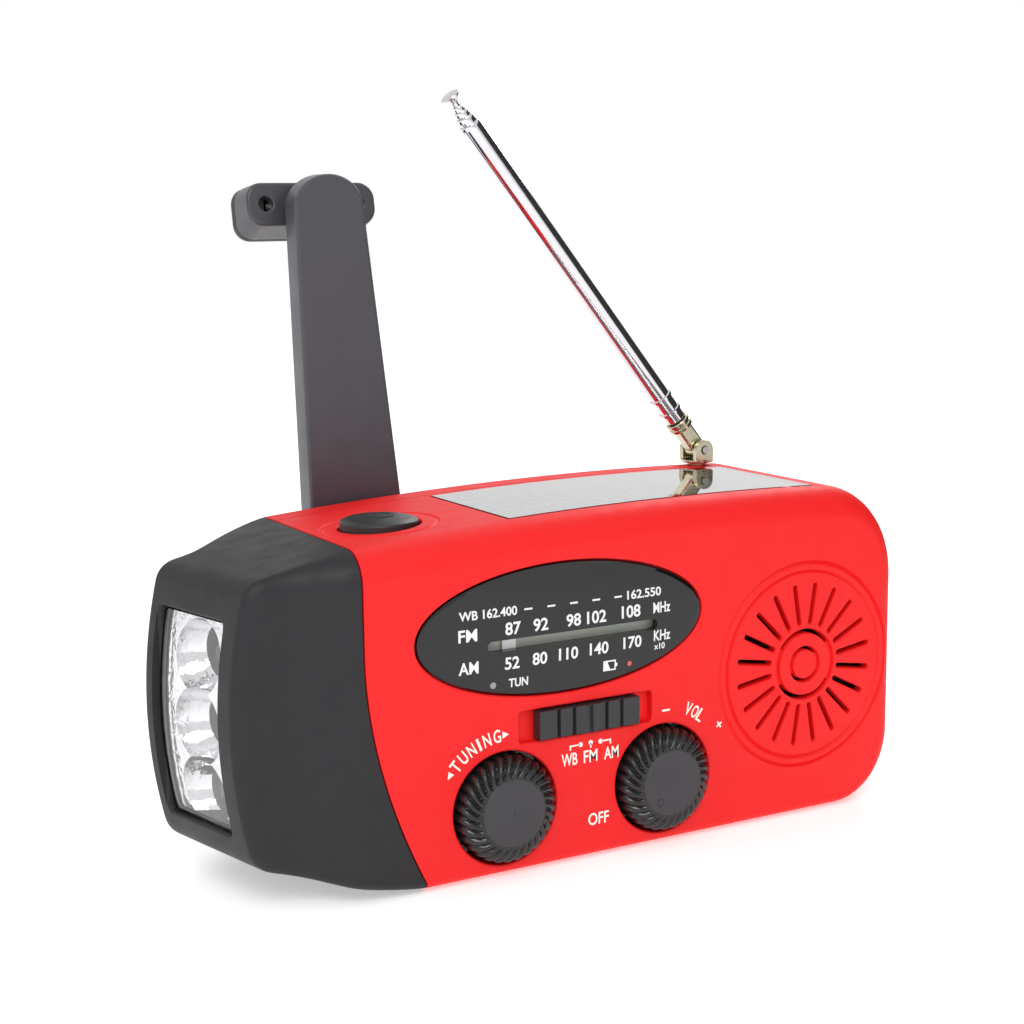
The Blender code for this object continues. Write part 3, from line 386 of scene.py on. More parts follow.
BUTTON_RUBBER = finish("button_rubber", (0.018, 0.018, 0.018), 0.42, grain=0.16, depth=0.015)
DIAL_BLACK = finish("dial_gloss_black", grey(0.004), 0.05, grain=2.5, depth=0.004, uneven=0.02)
PRINT_WHITE = finish("print_white", grey(0.82), 0.5, grain=0.1, depth=0.006, drift=0.04)
PRINT_MINT = finish("print_mint_white", (0.86, 0.94, 0.84), 0.5, grain=0.1, depth=0.006, drift=0.04)
PRINT_GREY = finish("print_grey", (0.28, 0.29, 0.28), 0.4, grain=0.1, depth=0.006)
PRINT_RED = finish("print_red", (0.75, 0.1, 0.09), 0.3, grain=0.1, depth=0.006)
BACKING = finish("dial_backing", (0.62, 0.66, 0.58), 0.5, drift=0.04)
POINTER_WHITE = finish("pointer_white", grey(0.95), 0.4, drift=0.02)
CHROME = finish("chrome_plate", (0.7, 0.69, 0.72), 0.08, grain=0.5, depth=0.004, drift=0.04, uneven=0.04,
                metallic=1.0)
MIRROR = finish("vacuum_mirror", (0.8, 0.79, 0.82), 0.06, grain=1.1, depth=0.16, drift=0.03, uneven=0.03,
                metallic=1.0)
BRASS = finish("nickel_brass", (0.56, 0.52, 0.38), 0.2, grain=0.4, depth=0.008, drift=0.16, metallic=1.0)
STEEL = finish("zinc_steel", grey(0.5), 0.3, grain=0.3, depth=0.01, drift=0.1, metallic=1.0)
DARK_STEEL = finish("black_oxide_steel", grey(0.12), 0.35, grain=0.3, depth=0.01, drift=0.15, metallic=1.0)
BOARD_GREEN = finish("solder_mask", (0.012, 0.12, 0.04), 0.35, grain=0.6, depth=0.03, drift=0.3)
WHITE = finish("moulded_white", grey(0.7), 0.45, drift=0.05)
CELL_BLUE = finish("solar_cell_blue", (0.006, 0.009, 0.022), 0.2, grain=1.2, depth=0.004, drift=0.4)
WRAP_BLUE = finish("cell_wrap_blue", (0.03, 0.08, 0.3), 0.3)
FERRITE = finish("sintered_ferrite", grey(0.035), 0.7, grain=0.3, depth=0.04)
PAPER = finish("pressed_paper", grey(0.02), 0.85, grain=0.5, depth=0.08)
COPPER = finish("enamelled_copper", (0.6, 0.22, 0.08), 0.3, grain=0.3, depth=0.05, metallic=1.0)
RUBBER = finish("flap_rubber", grey(0.02), 0.6, grain=0.2, depth=0.03)
GLASS = dict(Transmission_Weight=1.0, IOR=1.49)
CLEAR = finish("clear_acrylic", grey(0.97), 0.02, grain=2.0, depth=0.003, drift=0.01, uneven=0.0, **GLASS)
COVER = finish("panel_acrylic", grey(0.95), 0.02, grain=3.0, depth=0.002, drift=0.01, uneven=0.0,
               Transmission_Weight=1.0, IOR=1.6, Coat_Weight=1.0)
LED_EPOXY = finish("led_epoxy", (0.95, 0.96, 0.9), 0.05, drift=0.01, uneven=0.0, **GLASS)
print("finishes", len(bpy.data.materials))

# %% [markdown]
# ## Case outline
# Seen from the front the case has an arched top, a large corner at the lower right and a softer one
# above it. The dark flashlight cap starts at a curved seam and narrows to its lens. Both are swept from
# front to back as one block whose front and back edges are rounded. A loft could do it too, but rings
# that share one outline keep the seam, the lens and the panel on exactly the same curves.

# %% Outline curves
TOP_PEAK_X, TOP_PEAK_Z, TOP_ARCH = 22.0, 59.6, 0.00066
TOP_CORNER, RIGHT_TOP_Z, BOTTOM_CORNER = 14.0, 42.0, 13.0
EDGE_TOP, EDGE_SIDE, EDGE_BOTTOM, EDGE_CAP = 5.5, 3.5, 1.5, 2.5
WALL, GAP = 2.0, 0.3
SEAM_X, SEAM_SWEEP, SEAM_START_Z, SEAM_POWER = -42.4, 10.6, 40.0, 1.9
PAST_SEAM_X, CAP_RIGHT_X = -50.0, -27.0
CAP_EDGE_X, CAP_TIP, CAP_MIDDLE_Z, CAP_HALF_Z = -61.5, 3.0, 29.5, 22.5
CAP_TOP_SLOPE, CAP_TAPER, CAP_CORNER = 0.215, 0.075, 3.0
CAP_RISE, CAP_RISE_POWER, CAP_RISE_X, CAP_RISE_RUN = 7.0, 1.35, -32.0, 30.0


def top_height(x):
    return TOP_PEAK_Z - TOP_ARCH * (x - TOP_PEAK_X) ** 2


def seam_x(z):
    return SEAM_X + SEAM_SWEEP * max(0.0, 1.0 - z / SEAM_START_Z) ** SEAM_POWER


def red_outline():
    corner_x, bottom_x = CASE_RIGHT - TOP_CORNER, CASE_RIGHT - BOTTOM_CORNER
    rise = top_height(corner_x) - RIGHT_TOP_Z
    pairs = []
    for angle in spaced(0.0, math.pi / 2, 16):
        top = (corner_x + TOP_CORNER * math.cos(angle), RIGHT_TOP_Z + rise * math.sin(angle))
        low = (bottom_x + BOTTOM_CORNER * math.cos(angle), BOTTOM_CORNER * (1 - math.sin(angle)))
        pairs.append((top, low))
    for x in spaced(corner_x, PAST_SEAM_X, 30)[1:]:
        pairs.append(((x, top_height(x)), (min(x, bottom_x - 0.2), 0.0)))
    return pairs


def red_edges(outward, x):
    up, down = max(0.0, outward[1]) ** 2, max(0.0, -outward[1]) ** 2
    front = EDGE_SIDE + (EDGE_TOP - EDGE_SIDE) * up + (EDGE_BOTTOM - EDGE_SIDE) * down
    return front, EDGE_SIDE + (EDGE_BOTTOM - EDGE_SIDE) * down


def cap_top(x):
    return top_height(x) if x > SEAM_X else top_height(SEAM_X) - CAP_TOP_SLOPE * (SEAM_X - x)


def cap_bottom(x):
    return CAP_RISE * max(0.0, (CAP_RISE_X - x) / CAP_RISE_RUN) ** CAP_RISE_POWER


def cap_end(z):
    return CAP_EDGE_X - CAP_TIP * (1 - ((z - CAP_MIDDLE_Z) / CAP_HALF_Z) ** 2)


def cap_taper(x):
    return CAP_TAPER * max(0.0, SEAM_X - x)


def bend(start, corner, end, share):
    keep, turn, go = (1 - share) ** 2, 2 * share * (1 - share), share ** 2
    return tuple(keep * s + turn * c + go * e for s, c, e in zip(start, corner, end))


def cap_outline():
    pairs = [((x, cap_top(x)), (x, cap_bottom(x))) for x in spaced(CAP_RIGHT_X, -57.0, 24)]
    high, low, turn_x = cap_top(CAP_EDGE_X), cap_bottom(CAP_EDGE_X), CAP_EDGE_X + CAP_CORNER
    high_end, low_end = high - CAP_CORNER, low + CAP_CORNER
    for share in spaced(0.0, 1.0, 8):
        top = bend((turn_x, cap_top(turn_x)), (CAP_EDGE_X, high), (cap_end(high_end), high_end), share)
        base = bend((turn_x, cap_bottom(turn_x)), (CAP_EDGE_X, low), (cap_end(low_end), low_end), share)
        pairs.append((top, base))
    for share in spaced(0.0, 0.97, 12)[1:]:
        ends = [z * (1 - share) + CAP_MIDDLE_Z * share for z in (high_end, low_end)]
        pairs.append(tuple((cap_end(z), z) for z in ends))
    return pairs


def cap_edges(outward, x):
    front, back = red_edges(outward, x)
    share = min(1.0, max(0.0, (SEAM_X - x) / (SEAM_X - CAP_EDGE_X)))
    return front + (EDGE_CAP - front) * share, back + (EDGE_CAP - back) * share


def case_block(name, pairs, edges, front, back, inset=0.0, round_front=True, round_back=True, steps=8):
    """A block with the case's outline and rounded front and back edges; inset shrinks it all round."""
    outline = [pair[0] for pair in pairs] + [pair[1] for pair in reversed(pairs)]
    normals = inward_normals(outline)
    quarter = spaced(0.0, math.pi / 2, steps)
    levels = [("front", angle) for angle in reversed(quarter)] if round_front else [("flat", front)]
    levels += [("back", angle) for angle in quarter] if round_back else [("flat", back)]
    rings = []
    for kind, value in levels:
        ring = []
        for (x, z), normal in zip(outline, normals):
            shift, y = inset, value
            radii = [max(radius - inset, 0.4) for radius in edges((-normal.x, -normal.y), x)]
            if kind == "front":
                shift = inset + radii[0] * (1 - math.cos(value))
                y = front + cap_taper(x) + radii[0] * (1 - math.sin(value))
            if kind == "back":
                shift = inset + radii[1] * (1 - math.cos(value))
                y = back - cap_taper(x) - radii[1] * (1 - math.sin(value))
            ring.append((x + normal.x * shift, y, z + normal.y * shift))
        rings.append(ring)
    points, faces = stacked(rings)
    faces = faces[2:]
    count, last = len(outline), len(points) - len(outline)
    for k in range(len(pairs) - 1):
        face = (k, k + 1, count - 2 - k, count - 1 - k)
        faces += [face, tuple(last + corner for corner in face[::-1])]
    return make(name, points, faces)


def seam_block(name, shift, side):
    line = [(seam_x(max(z, 0.0)) + shift, z) for z in [-6.0] + spaced(-0.7, 41.3, 28) + [70.0]]
    return prism(name, line + [(90.0 * side, 70.0), (90.0 * side, -6.0)], -40.0, 40.0, "Y")


def under_arch(name, x0, x1, y0, y1, top, bottom, steps=40):
    xs = spaced(x0, x1, steps)
    upper = [(x, top_height(x) - top) for x in xs]
    return prism(name, upper + [(x, top_height(x) - bottom) for x in reversed(xs)], y0, y1, "Y")


print("top of the case at its middle", round(top_height(0.0), 2))

# %% [markdown]
# ## One tree that repeats a piece
# Speaker slots, screws, light bowls and cell fingers are all one shape many times over. A Geometry Nodes
# tree does that: it sets the piece on each point of a host mesh, turning it a step further each time.
# The result is realised and given its material, because instances would be lost on the way out.

# %% Build the repeating tree


def set_inputs(piece, group, values):
    modifier = piece.modifiers.new(group.name, "NODES")
    modifier.node_group = group
    names = {item.name: item.identifier for item in group.interface.items_tree if item.in_out == "INPUT"}
    for label, value in values.items():
        modifier[names[label]] = value
    apply_modifiers(piece)


def start_tree(name, inputs):
    group = bpy.data.node_groups.new(name, "GeometryNodeTree")
    group.is_modifier = True
    group.interface.new_socket("Geometry", in_out="INPUT", socket_type="NodeSocketGeometry")
    for label, kind in inputs:
        group.interface.new_socket(label, in_out="INPUT", socket_type="NodeSocket" + kind)
    group.interface.new_socket("Geometry", in_out="OUTPUT", socket_type="NodeSocketGeometry")
    return group, group.nodes.new("NodeGroupInput"), group.nodes.new("NodeGroupOutput")


def end_tree(group, given, out, geometry):
    """Realises what a tree made, paints it with the given material and sends it out."""
    real = add_node(group, "GeometryNodeRealizeInstances", {"Geometry": geometry})
    paint = add_node(group, "GeometryNodeSetMaterial", {"Geometry": real.outputs["Geometry"],
                                                        "Material": given.outputs["Material"]})
    group.links.new(paint.outputs["Geometry"], out.inputs["Geometry"])
    return group


def repeating_tree():
    inputs = (("Piece", "Object"), ("Axis", "Vector"), ("First turn", "Float"), ("Step turn", "Float"),
              ("Material", "Material"))
    group, given, out = start_tree("repeat_piece", inputs)
    index = group.nodes.new("GeometryNodeInputIndex").outputs["Index"]
    angle = add_node(group, "ShaderNodeMath", {0: index, 1: given.outputs["Step turn"],
                                               2: given.outputs["First turn"]}, operation="MULTIPLY_ADD")
    turn = add_node(group, "FunctionNodeAxisAngleToRotation", {"Axis": given.outputs["Axis"],
                                                               "Angle": angle.outputs["Value"]})
    info = add_node(group, "GeometryNodeObjectInfo", {"Object": given.outputs["Piece"]})
    setter = add_node(group, "GeometryNodeInstanceOnPoints",
                      {"Points": given.outputs["Geometry"], "Instance": info.outputs["Geometry"],
                       "Rotation": turn.outputs["Rotation"]})
    return end_tree(group, given, out, setter.outputs["Instances"])


REPEAT = repeating_tree()


def repeated(name, piece, points, material, axis=(0.0, 1.0, 0.0), first=0.0, step=0.0):
    """The piece, drawn about the origin, set on each point in millimetres."""
    host = make(name, points, [])
    set_inputs(host, REPEAT, {"Piece": piece, "Axis": axis, "First turn": first, "Step turn": step,
                              "Material": material})
    bpy.data.objects.remove(piece, do_unlink=True)
    return host


print("tree", REPEAT.name, "with", len(REPEAT.nodes), "nodes")

# %% [markdown]
# ## Front case
# The red front shell is a hollow box with an open back. It could be drawn as one surface with loops round
# every hole, but the holes are many and all different, so they are cut. The cutters carry the rounded
# mouths. Inside, pads keep the wall thick under the dial, the switch and the panel.

# %% Dimensions of the front
WELL_RADIUS, WELL_DEPTH = 9.7, 3.0
DIAL_DEPTH, DIAL_A, DIAL_B = 1.6, 27.4, 10.9
BAND_LOW, BAND_HIGH, BAND_DEPTH = (-14.8, 21.9), (11.4, 27.4), 1.5
SLOT_IN, SLOT_OUT, SLOT_HALF, SLOT_COUNT = 7.8, 14.5, 0.45, 20
PANEL_LOW, PANEL_HIGH = corners("solar_cover")
BEAD_IN, BEAD_RADIUS, BEAD_OUT = 16.75, 17.9, 19.05
GROOVES, GROOVE_DROP = ((6.1, 0.5), (3.0, 0.42)), 0.75
BUTTON_HOLE, BUTTON_RING = 7.0, 9.8
DIAL_PAD = (-34.5, -21.0, 29.2), (22.7, -18.6, 52.2)
BAND_PAD = (-16.8, -21.0, 20.6), (13.4, -19.0, 28.8)
POINTER_SLIT = (-22.0, -22.0, 35.8), (15.0, -17.0, 41.6)
STEM_SLIT = (-7.2, -22.0, 23.3), (4.0, -17.0, 26.0)
FLAP_HALF, FLAP_LOW, FLAP_HIGH, FLAP_DEPTH = 9.0, 19.0, 37.0, 1.3
USB_HALF, USB_LOW, USB_HIGH = 6.9, 28.8, 35.2
CHARGE_HALF, CHARGE_LOW, CHARGE_HIGH = 4.2, 21.6, 25.0
PORTS_Y = middle("usb_port").y
SCREW_PLACES = [middle(f"case_screw_{k}") for k in range(1, 5)]

# %% Grille cutters


def grille_cutters():
    outline = arc((SLOT_OUT, 0.0), SLOT_HALF, -math.pi / 2, math.pi / 2, 6)
    outline += arc((SLOT_IN, 0.0), SLOT_HALF, math.pi / 2, math.pi * 1.5, 6)
    spoke = opening("spoke", outline, CASE_FRONT, 1, 3.0, 0.28, "Y")
    centre = (SPEAKER.x, 0.0, SPEAKER.z)
    step = TURN / SLOT_COUNT
    cutters = [repeated("cutter_spokes", spoke, [centre] * SLOT_COUNT, RED, first=step / 2, step=step)]
    middle_point = (SPEAKER.x, SPEAKER.z)
    y = CASE_FRONT
    bead = [(BEAD_IN, y - 1.0), (BEAD_IN, y), (BEAD_IN + 0.25, y + 0.42), (BEAD_IN + 0.45, y + 0.34)]
    bead += [(BEAD_RADIUS - 0.62 * math.cos(a), y + 0.3 - 0.34 * math.sin(a))
             for a in spaced(0.0, math.pi, 8)[1:-1]]
    bead += [(BEAD_OUT - 0.45, y + 0.34), (BEAD_OUT - 0.25, y + 0.42), (BEAD_OUT, y), (BEAD_OUT, y - 1.0)]
    cutters.append(turned_ring("cutter_bead", middle_point, bead, 96, "Y"))
    for radius, half in GROOVES:
        groove = [(radius - half, y - 1.0), (radius - half, y)]
        groove += [(radius - half * math.cos(a), y + GROOVE_DROP * math.sin(a))
                   for a in spaced(0.0, math.pi, 6)[1:-1]]
        groove += [(radius + half, y), (radius + half, y - 1.0)]
        cutters.append(turned_ring(f"cutter_groove_{radius}", middle_point, groove, 64, "Y"))
        for side in (-1, 1):
            ends = (side * math.pi / 2 - 1.0, side * math.pi / 2 + 1.0)
            shape = arc(middle_point, radius + half - 0.12, *ends, 12)
            shape += arc(middle_point, radius - half + 0.12, ends[1], ends[0], 12)
            cutters.append(prism(f"cutter_arc_{radius}_{side}", shape, y - 1.0, y + 3.0, "Y"))
    return cutters


# %% Top cutters


def top_tilt(x, y):
    """Turns a cutter about a point of the arched top so that it enters square to the surface."""
    slope = math.atan(-2 * TOP_ARCH * (x - TOP_PEAK_X))
    here = shifted((x, y, top_height(x)))
    return here @ Matrix.Rotation(-slope, 4, "Y") @ here.inverted()


def top_cutters():
    surface, centre = top_height(BUTTON.x), (BUTTON.x, BUTTON.y)
    tilt = top_tilt(*centre)
    hole = opening("cutter_button", circle(centre, BUTTON_HOLE, 48), surface, -1, 8.0, 0.4, "Z")
    loop = [(BUTTON_RING + a, surface + 0.22 + b) for a, b in circle((0, 0), 0.5, 12)]
    ring = turned_ring("cutter_button_ring", centre, loop, 72, "Z")
    recess = under_arch("cutter_panel", PANEL_LOW.x - GAP, PANEL_HIGH.x + GAP, PANEL_LOW.y - GAP,
                        PANEL_HIGH.y + GAP, -2.0, 2.4)
    return [moved(hole, tilt), moved(ring, tilt), recess]


# %% Cut the front case


def front_hollow():
    hollow = case_block("front_hollow", red_outline(), red_edges, CASE_FRONT + WALL, 20.0, WALL,
                        round_back=False, steps=3)
    pads = [box("pad_dial", *DIAL_PAD),
            box("pad_band", *BAND_PAD),
            under_arch("pad_panel", PANEL_LOW.x - 2.2, PANEL_HIGH.x + 1.3, -19.0, 25.0, -2.0, 3.6, 10),
            box("pad_ports", (62.2, PORTS_Y - 11.0, 17.0), (70.0, PORTS_Y + 11.0, 39.0))]
    cut(hollow, *pads)
    return hollow


front_shell = case_block("case_front_shell", red_outline(), red_edges, CASE_FRONT, SPLIT_Y,
                         round_back=False)
ellipse = [(DIAL.x + (DIAL_A + GAP) * a, DIAL.z + (DIAL_B + GAP) * b)
           for a, b in circle((0, 0), 1.0, 120)]
front_cutters = [
    front_hollow(),
    seam_block("cutter_cap_side", GAP / 2, -1),
    opening("cutter_dial", ellipse, CASE_FRONT, 1, DIAL_DEPTH, 0.35, "Y"),
    box("cutter_pointer", *POINTER_SLIT),
    opening("cutter_band", rounded(BAND_LOW, BAND_HIGH, 0.6), CASE_FRONT, 1, BAND_DEPTH, 0.3, "Y"),
    box("cutter_stem", *STEM_SLIT),
    opening("cutter_flap", rounded((PORTS_Y - FLAP_HALF, FLAP_LOW), (PORTS_Y + FLAP_HALF, FLAP_HIGH), 1.2),
            CASE_RIGHT, -1, FLAP_DEPTH, 0.3, "X"),
    box("cutter_usb", (58.0, PORTS_Y - USB_HALF, USB_LOW), (70.0, PORTS_Y + USB_HALF, USB_HIGH)),
    box("cutter_charging", (58.0, PORTS_Y - CHARGE_HALF, CHARGE_LOW),
        (70.0, PORTS_Y + CHARGE_HALF, CHARGE_HIGH)),
]
for label, knob_place in (("tuning", TUNING), ("volume", VOLUME)):
    ring = circle((knob_place.x, knob_place.z), WELL_RADIUS, 96)
    front_cutters.append(opening(f"cutter_{label}", ring, CASE_FRONT, 1, WELL_DEPTH, 0.4, "Y"))
cut(front_shell, *front_cutters, *top_cutters(), *grille_cutters())
finish_piece(front_shell, "case", "red_case", "front_case", materials=[RED])

# %% [markdown]
# ## Rear case
# The rear shell closes the back. It has the round recess that the crank hub turns in, a pocket that takes
# the grip when the arm is folded down, and four deep screw holes.

# %% Cut the rear case
RECESS_RADIUS, RECESS_DEPTH = 16.2, 5.1
POCKET, POCKET_HALF_X, POCKET_HALF_Z, POCKET_DEPTH = (40.8, 30.0), 6.1, 13.1, 13.1
SCREW_RECESS, SCREW_HEAD_DEPTH, SCREW_HOLE, SHAFT_HOLE, ANTENNA_HOLE = 2.9, 5.0, 1.6, 3.3, 2.1
HUB_PAD, SCREW_PAD, PAD_BACK_Y, POCKET_WALL = 17.8, 3.9, 21.5, 1.4


def rear_hollow():
    hollow = case_block("rear_hollow", red_outline(), red_edges, SPLIT_Y - 3, CASE_BACK - WALL, WALL,
                        round_front=False, steps=3)
    pads = [turned("pad_hub", (HUB.x, HUB.z), ((HUB_PAD, SPLIT_Y + 1.0), (HUB_PAD, PAD_BACK_Y)), 48, "Y")]
    for k, spot in enumerate(SCREW_PLACES):
        post = ((SCREW_PAD, SPLIT_Y + GAP), (SCREW_PAD, PAD_BACK_Y))
        pads.append(turned(f"pad_screw_{k}", (spot.x, spot.z), post, 16, "Y"))
    cut(hollow, *pads)
    return hollow


def pocket_outline(by):
    low = (POCKET[0] - POCKET_HALF_X - by, POCKET[1] - POCKET_HALF_Z - by)
    high = (POCKET[0] + POCKET_HALF_X + by, POCKET[1] + POCKET_HALF_Z + by)
    return rounded(low, high, 0.8 + by)


rear_shell = case_block("case_rear_shell", red_outline(), red_edges, SPLIT_Y + GAP, CASE_BACK,
                        round_front=False)
cut(rear_shell, rear_hollow())
pocket_floor = CASE_BACK - POCKET_DEPTH
pocket_wall = prism("pad_pocket", pocket_outline(POCKET_WALL), pocket_floor - POCKET_WALL, 21.0, "Y")
cut(rear_shell, pocket_wall, operation="UNION")
rear_cutters = [
    opening("cutter_pocket", pocket_outline(0.0), CASE_BACK, -1, POCKET_DEPTH, 0.6, "Y"),
    seam_block("cutter_cap_side", GAP / 2, -1),
    opening("cutter_recess", circle((HUB.x, HUB.z), RECESS_RADIUS, 96), CASE_BACK, -1, RECESS_DEPTH, 0.5,
            "Y"),
    turned("cutter_shaft", (HUB.x, HUB.z), ((SHAFT_HOLE, 10.0), (SHAFT_HOLE, 20.0)), 24, "Y"),
    turned("cutter_antenna", (ANTENNA.x, ANTENNA.y), ((ANTENNA_HOLE, 50.0), (ANTENNA_HOLE, 64.0)), 32, "Z"),
]
for k, spot in enumerate(SCREW_PLACES):
    hole = ((SCREW_HOLE, 10.0), (SCREW_HOLE, 19.0))
    rear_cutters.append(turned(f"cutter_screw_{k}", (spot.x, spot.z), hole, 16, "Y"))
    ring = circle((spot.x, spot.z), SCREW_RECESS, 32)
    rear_cutters.append(opening(f"cutter_head_{k}", ring, CASE_BACK, -1, SCREW_HEAD_DEPTH, 0.35, "Y"))
cut(rear_shell, *rear_cutters)
finish_piece(rear_shell, "case", "red_case", "rear_case", materials=[RED])

# %% [markdown]
# ## Flashlight cap
# The dark cap slips over the end of the case. Its end bulges, and the lens opening follows the bulge, so
# the opening's cutter is bent the same way before it is used. The cap is drawn straight and then slanted,
# because its end narrows and faces a little to the front; the lens and reflector go through the same step.

# %% Cut the cap
WINDOW_LOW, WINDOW_HIGH, WINDOW_LIP = (-12.6, 11.7), (14.9, 46.4), 0.7
SLANT_START, SLANT_RUN, SLANT_BACK, SLANT_SLOPE, SLANT_NEAR_Y = -42.6, 14.4, 2.0, 0.24, -17.5
SLANT_NARROW, SLANT_SHIFT = 0.646, -4.25


def slanted(piece):
    """Narrows the flashlight end of a piece and turns it a little to the front."""
    for vertex in piece.data.vertices:
        x, y, _ = vertex.co / MM
        share = min(1.0, max(0.0, (SLANT_START - x) / SLANT_RUN))
        share = share * share * (3.0 - 2.0 * share)
        narrow = y + share * (SLANT_NARROW * y + SLANT_SHIFT - y)
        vertex.co.x = (x + share * (SLANT_BACK - SLANT_SLOPE * (narrow - SLANT_NEAR_Y))) * MM
        vertex.co.y = narrow * MM
    return piece


def window_cutter():
    outline = rounded(WINDOW_LOW, WINDOW_HIGH, 1.0)
    rings = [[(-75.0, y, z) for y, z in grown(outline, WINDOW_LIP)]]
    for angle in spaced(math.pi / 2, 0.0, 5):
        by, depth = WINDOW_LIP * (1 - math.cos(angle)), WINDOW_LIP * (1 - math.sin(angle)) - CUT_OVERLAP
        rings.append([(cap_end(z) + depth, y, z) for y, z in grown(outline, by)])
    rings.append([(-57.0, y, z) for y, z in outline])
    return make("cutter_window", *stacked(rings))


cap_shell = case_block("lamp_cap_shell", cap_outline(), cap_edges, CASE_FRONT, CASE_BACK)
cap_hollow = case_block("cap_hollow", cap_outline(), cap_edges, CASE_FRONT + WALL, CASE_BACK - WALL, WALL,
                        steps=3)
cut(cap_shell, cap_hollow, seam_block("cutter_red_side", -GAP / 2, 1), window_cutter())
finish_piece(slanted(cap_shell), "case", "soft_black", "flashlight_cap", materials=[CAP_BLACK])

# %% [markdown]
# ## Flashlight
# Behind a clear bowed lens stand three light-emitting diodes, each in a bright plated bowl. The bowls
# overlap a little, which leaves the scalloped ridges between them. Each bowl is a paraboloid: it is
# turned once and repeated by the tree, then cut from the plated block.

# %% Lens, reflector and diodes
LENS_DEPTH, LENS_THICK = 1.0, 1.2
BLOCK_DEPTH, BLOCK_MARGIN, BLOCK_BACK_X, LENS_MARGIN = 2.7, 0.9, -54.0, 0.4
BOWL_MOUTH, BOWL_HOLE, BOWL_FLOOR_X, BOWL_RISE = 6.4, 2.5, -55.4, 6.2
DIODE_RADIUS, DIODE_FLANGE, DIODE_FOOT_X, DIODE_DOME_X, DIODE_DOME = 2.0, 2.3, -52.2, -56.6, 1.9
DIODE_SHIFT = corners("led_middle")[1].x - DIODE_FOOT_X
LED_PLACES = [middle(node) for node in ("led_bottom", "led_middle", "led_top")]


def bowed_plate(name, margin, near, far_x):
    zs = spaced(WINDOW_LOW[1] + margin, WINDOW_HIGH[1] - margin, 28)
    outline = [(cap_end(z) + near, z) for z in zs] + [(far_x(z), z) for z in reversed(zs)]
    return slanted(prism(name, outline, WINDOW_LOW[0] + margin, WINDOW_HIGH[0] - margin, "Y"))


lens = bowed_plate("lamp_lens", LENS_MARGIN, LENS_DEPTH, lambda z: cap_end(z) + LENS_DEPTH + LENS_THICK)
finish_piece(lens, "case", "clear_plastic", "flashlight_lens", materials=[CLEAR])

block = bowed_plate("lamp_reflector", BLOCK_MARGIN, BLOCK_DEPTH, lambda z: BLOCK_BACK_X)
bowl_profile = [(BOWL_MOUTH + 1.0, -68.0)]
for share in spaced(1.0, 0.0, 12):
    radius = BOWL_HOLE + (BOWL_MOUTH - BOWL_HOLE) * share
    bowl_profile.append((radius, BOWL_FLOOR_X - BOWL_RISE * share ** 2))
bowl_profile.append((BOWL_HOLE, -48.0))
bowl = turned("bowl", (0.0, 0.0), bowl_profile, 48, "X")
spots = [(DIODE_SHIFT, spot.y, spot.z) for spot in LED_PLACES]
cut(block, repeated("cutter_bowls", bowl, spots, MIRROR), overlapping=True)
finish_piece(block, "case", "plated_plastic", "reflector", materials=[MIRROR], angle=50.0)

diode_profile = [(DIODE_FLANGE, DIODE_FOOT_X), (DIODE_FLANGE, DIODE_FOOT_X - 0.8),
                 (DIODE_RADIUS, DIODE_FOOT_X - 0.9), (DIODE_RADIUS, DIODE_DOME_X)]
diode_profile += [(DIODE_RADIUS * math.cos(a), DIODE_DOME_X - DIODE_DOME * math.sin(a))
                  for a in spaced(0.0, math.pi / 2, 8)[1:-1]]
diode_profile.append((0.1, DIODE_DOME_X - DIODE_DOME))
diodes = repeated("lamp_diodes", turned("diode", (0.0, 0.0), diode_profile, 32, "X"), spots, LED_EPOXY)
finish_piece(diodes, "case", "clear_plastic", "led_bottom", "led_middle", "led_top")
phosphor = turned("phosphor", (0.0, 0.0), ((0.9, -53.4), (1.1, -54.6), (0.9, -54.9)), 24, "X")
PHOSPHOR = finish("phosphor_yellow", (0.9, 0.75, 0.2), 0.5)
finish_piece(repeated("lamp_diode_chips", phosphor, spots, PHOSPHOR), "case", "white_plastic")

# %% [markdown]
# ## Dial
# The dial is a black window printed on clear plastic, with a narrow clear slot where the pointer shows.
# It is drawn as a slightly domed ellipse so that reflections bend in it, and the slot is cut through. The
# backing plate sits just behind, as it does on the real scale, or the slot would be too dark to read.

# %% Dial window, slot and pointer
DIAL_SLOT_LOW, DIAL_SLOT_HIGH = (-20.6, 38.1), (12.4, 40.0)
DIAL_DOME, DIAL_EDGE_Y, DIAL_BACK_Y, DIAL_SIDES = 0.45, -21.9, -20.75, 128
DOME_RINGS = (0.985, 0.95, 0.85, 0.7, 0.55, 0.4, 0.25, 0.1, 0.01)
NEEDLE_HALF = 1.3


def dome_y(x, z):
    reach = ((x - DIAL.x) / DIAL_A) ** 2 + ((z - DIAL.z) / DIAL_B) ** 2
    return DIAL_EDGE_Y - DIAL_DOME * max(0.0, 1.0 - reach)


def dial_ring(scale, y=None):
    ring = [(DIAL.x + DIAL_A * scale * a, DIAL.z + DIAL_B * scale * b)
            for a, b in circle((0, 0), 1.0, DIAL_SIDES)]
    return [(x, dome_y(x, z) if y is None else y, z) for x, z in ring]


def dial_window():
    rings = [dial_ring(1.0, DIAL_BACK_Y), dial_ring(1.0, DIAL_EDGE_Y + 0.35),
             dial_ring(0.996, DIAL_EDGE_Y + 0.1)]
    rings += [dial_ring(scale) for scale in DOME_RINGS]
    return make("dial_glass", *stacked(rings))


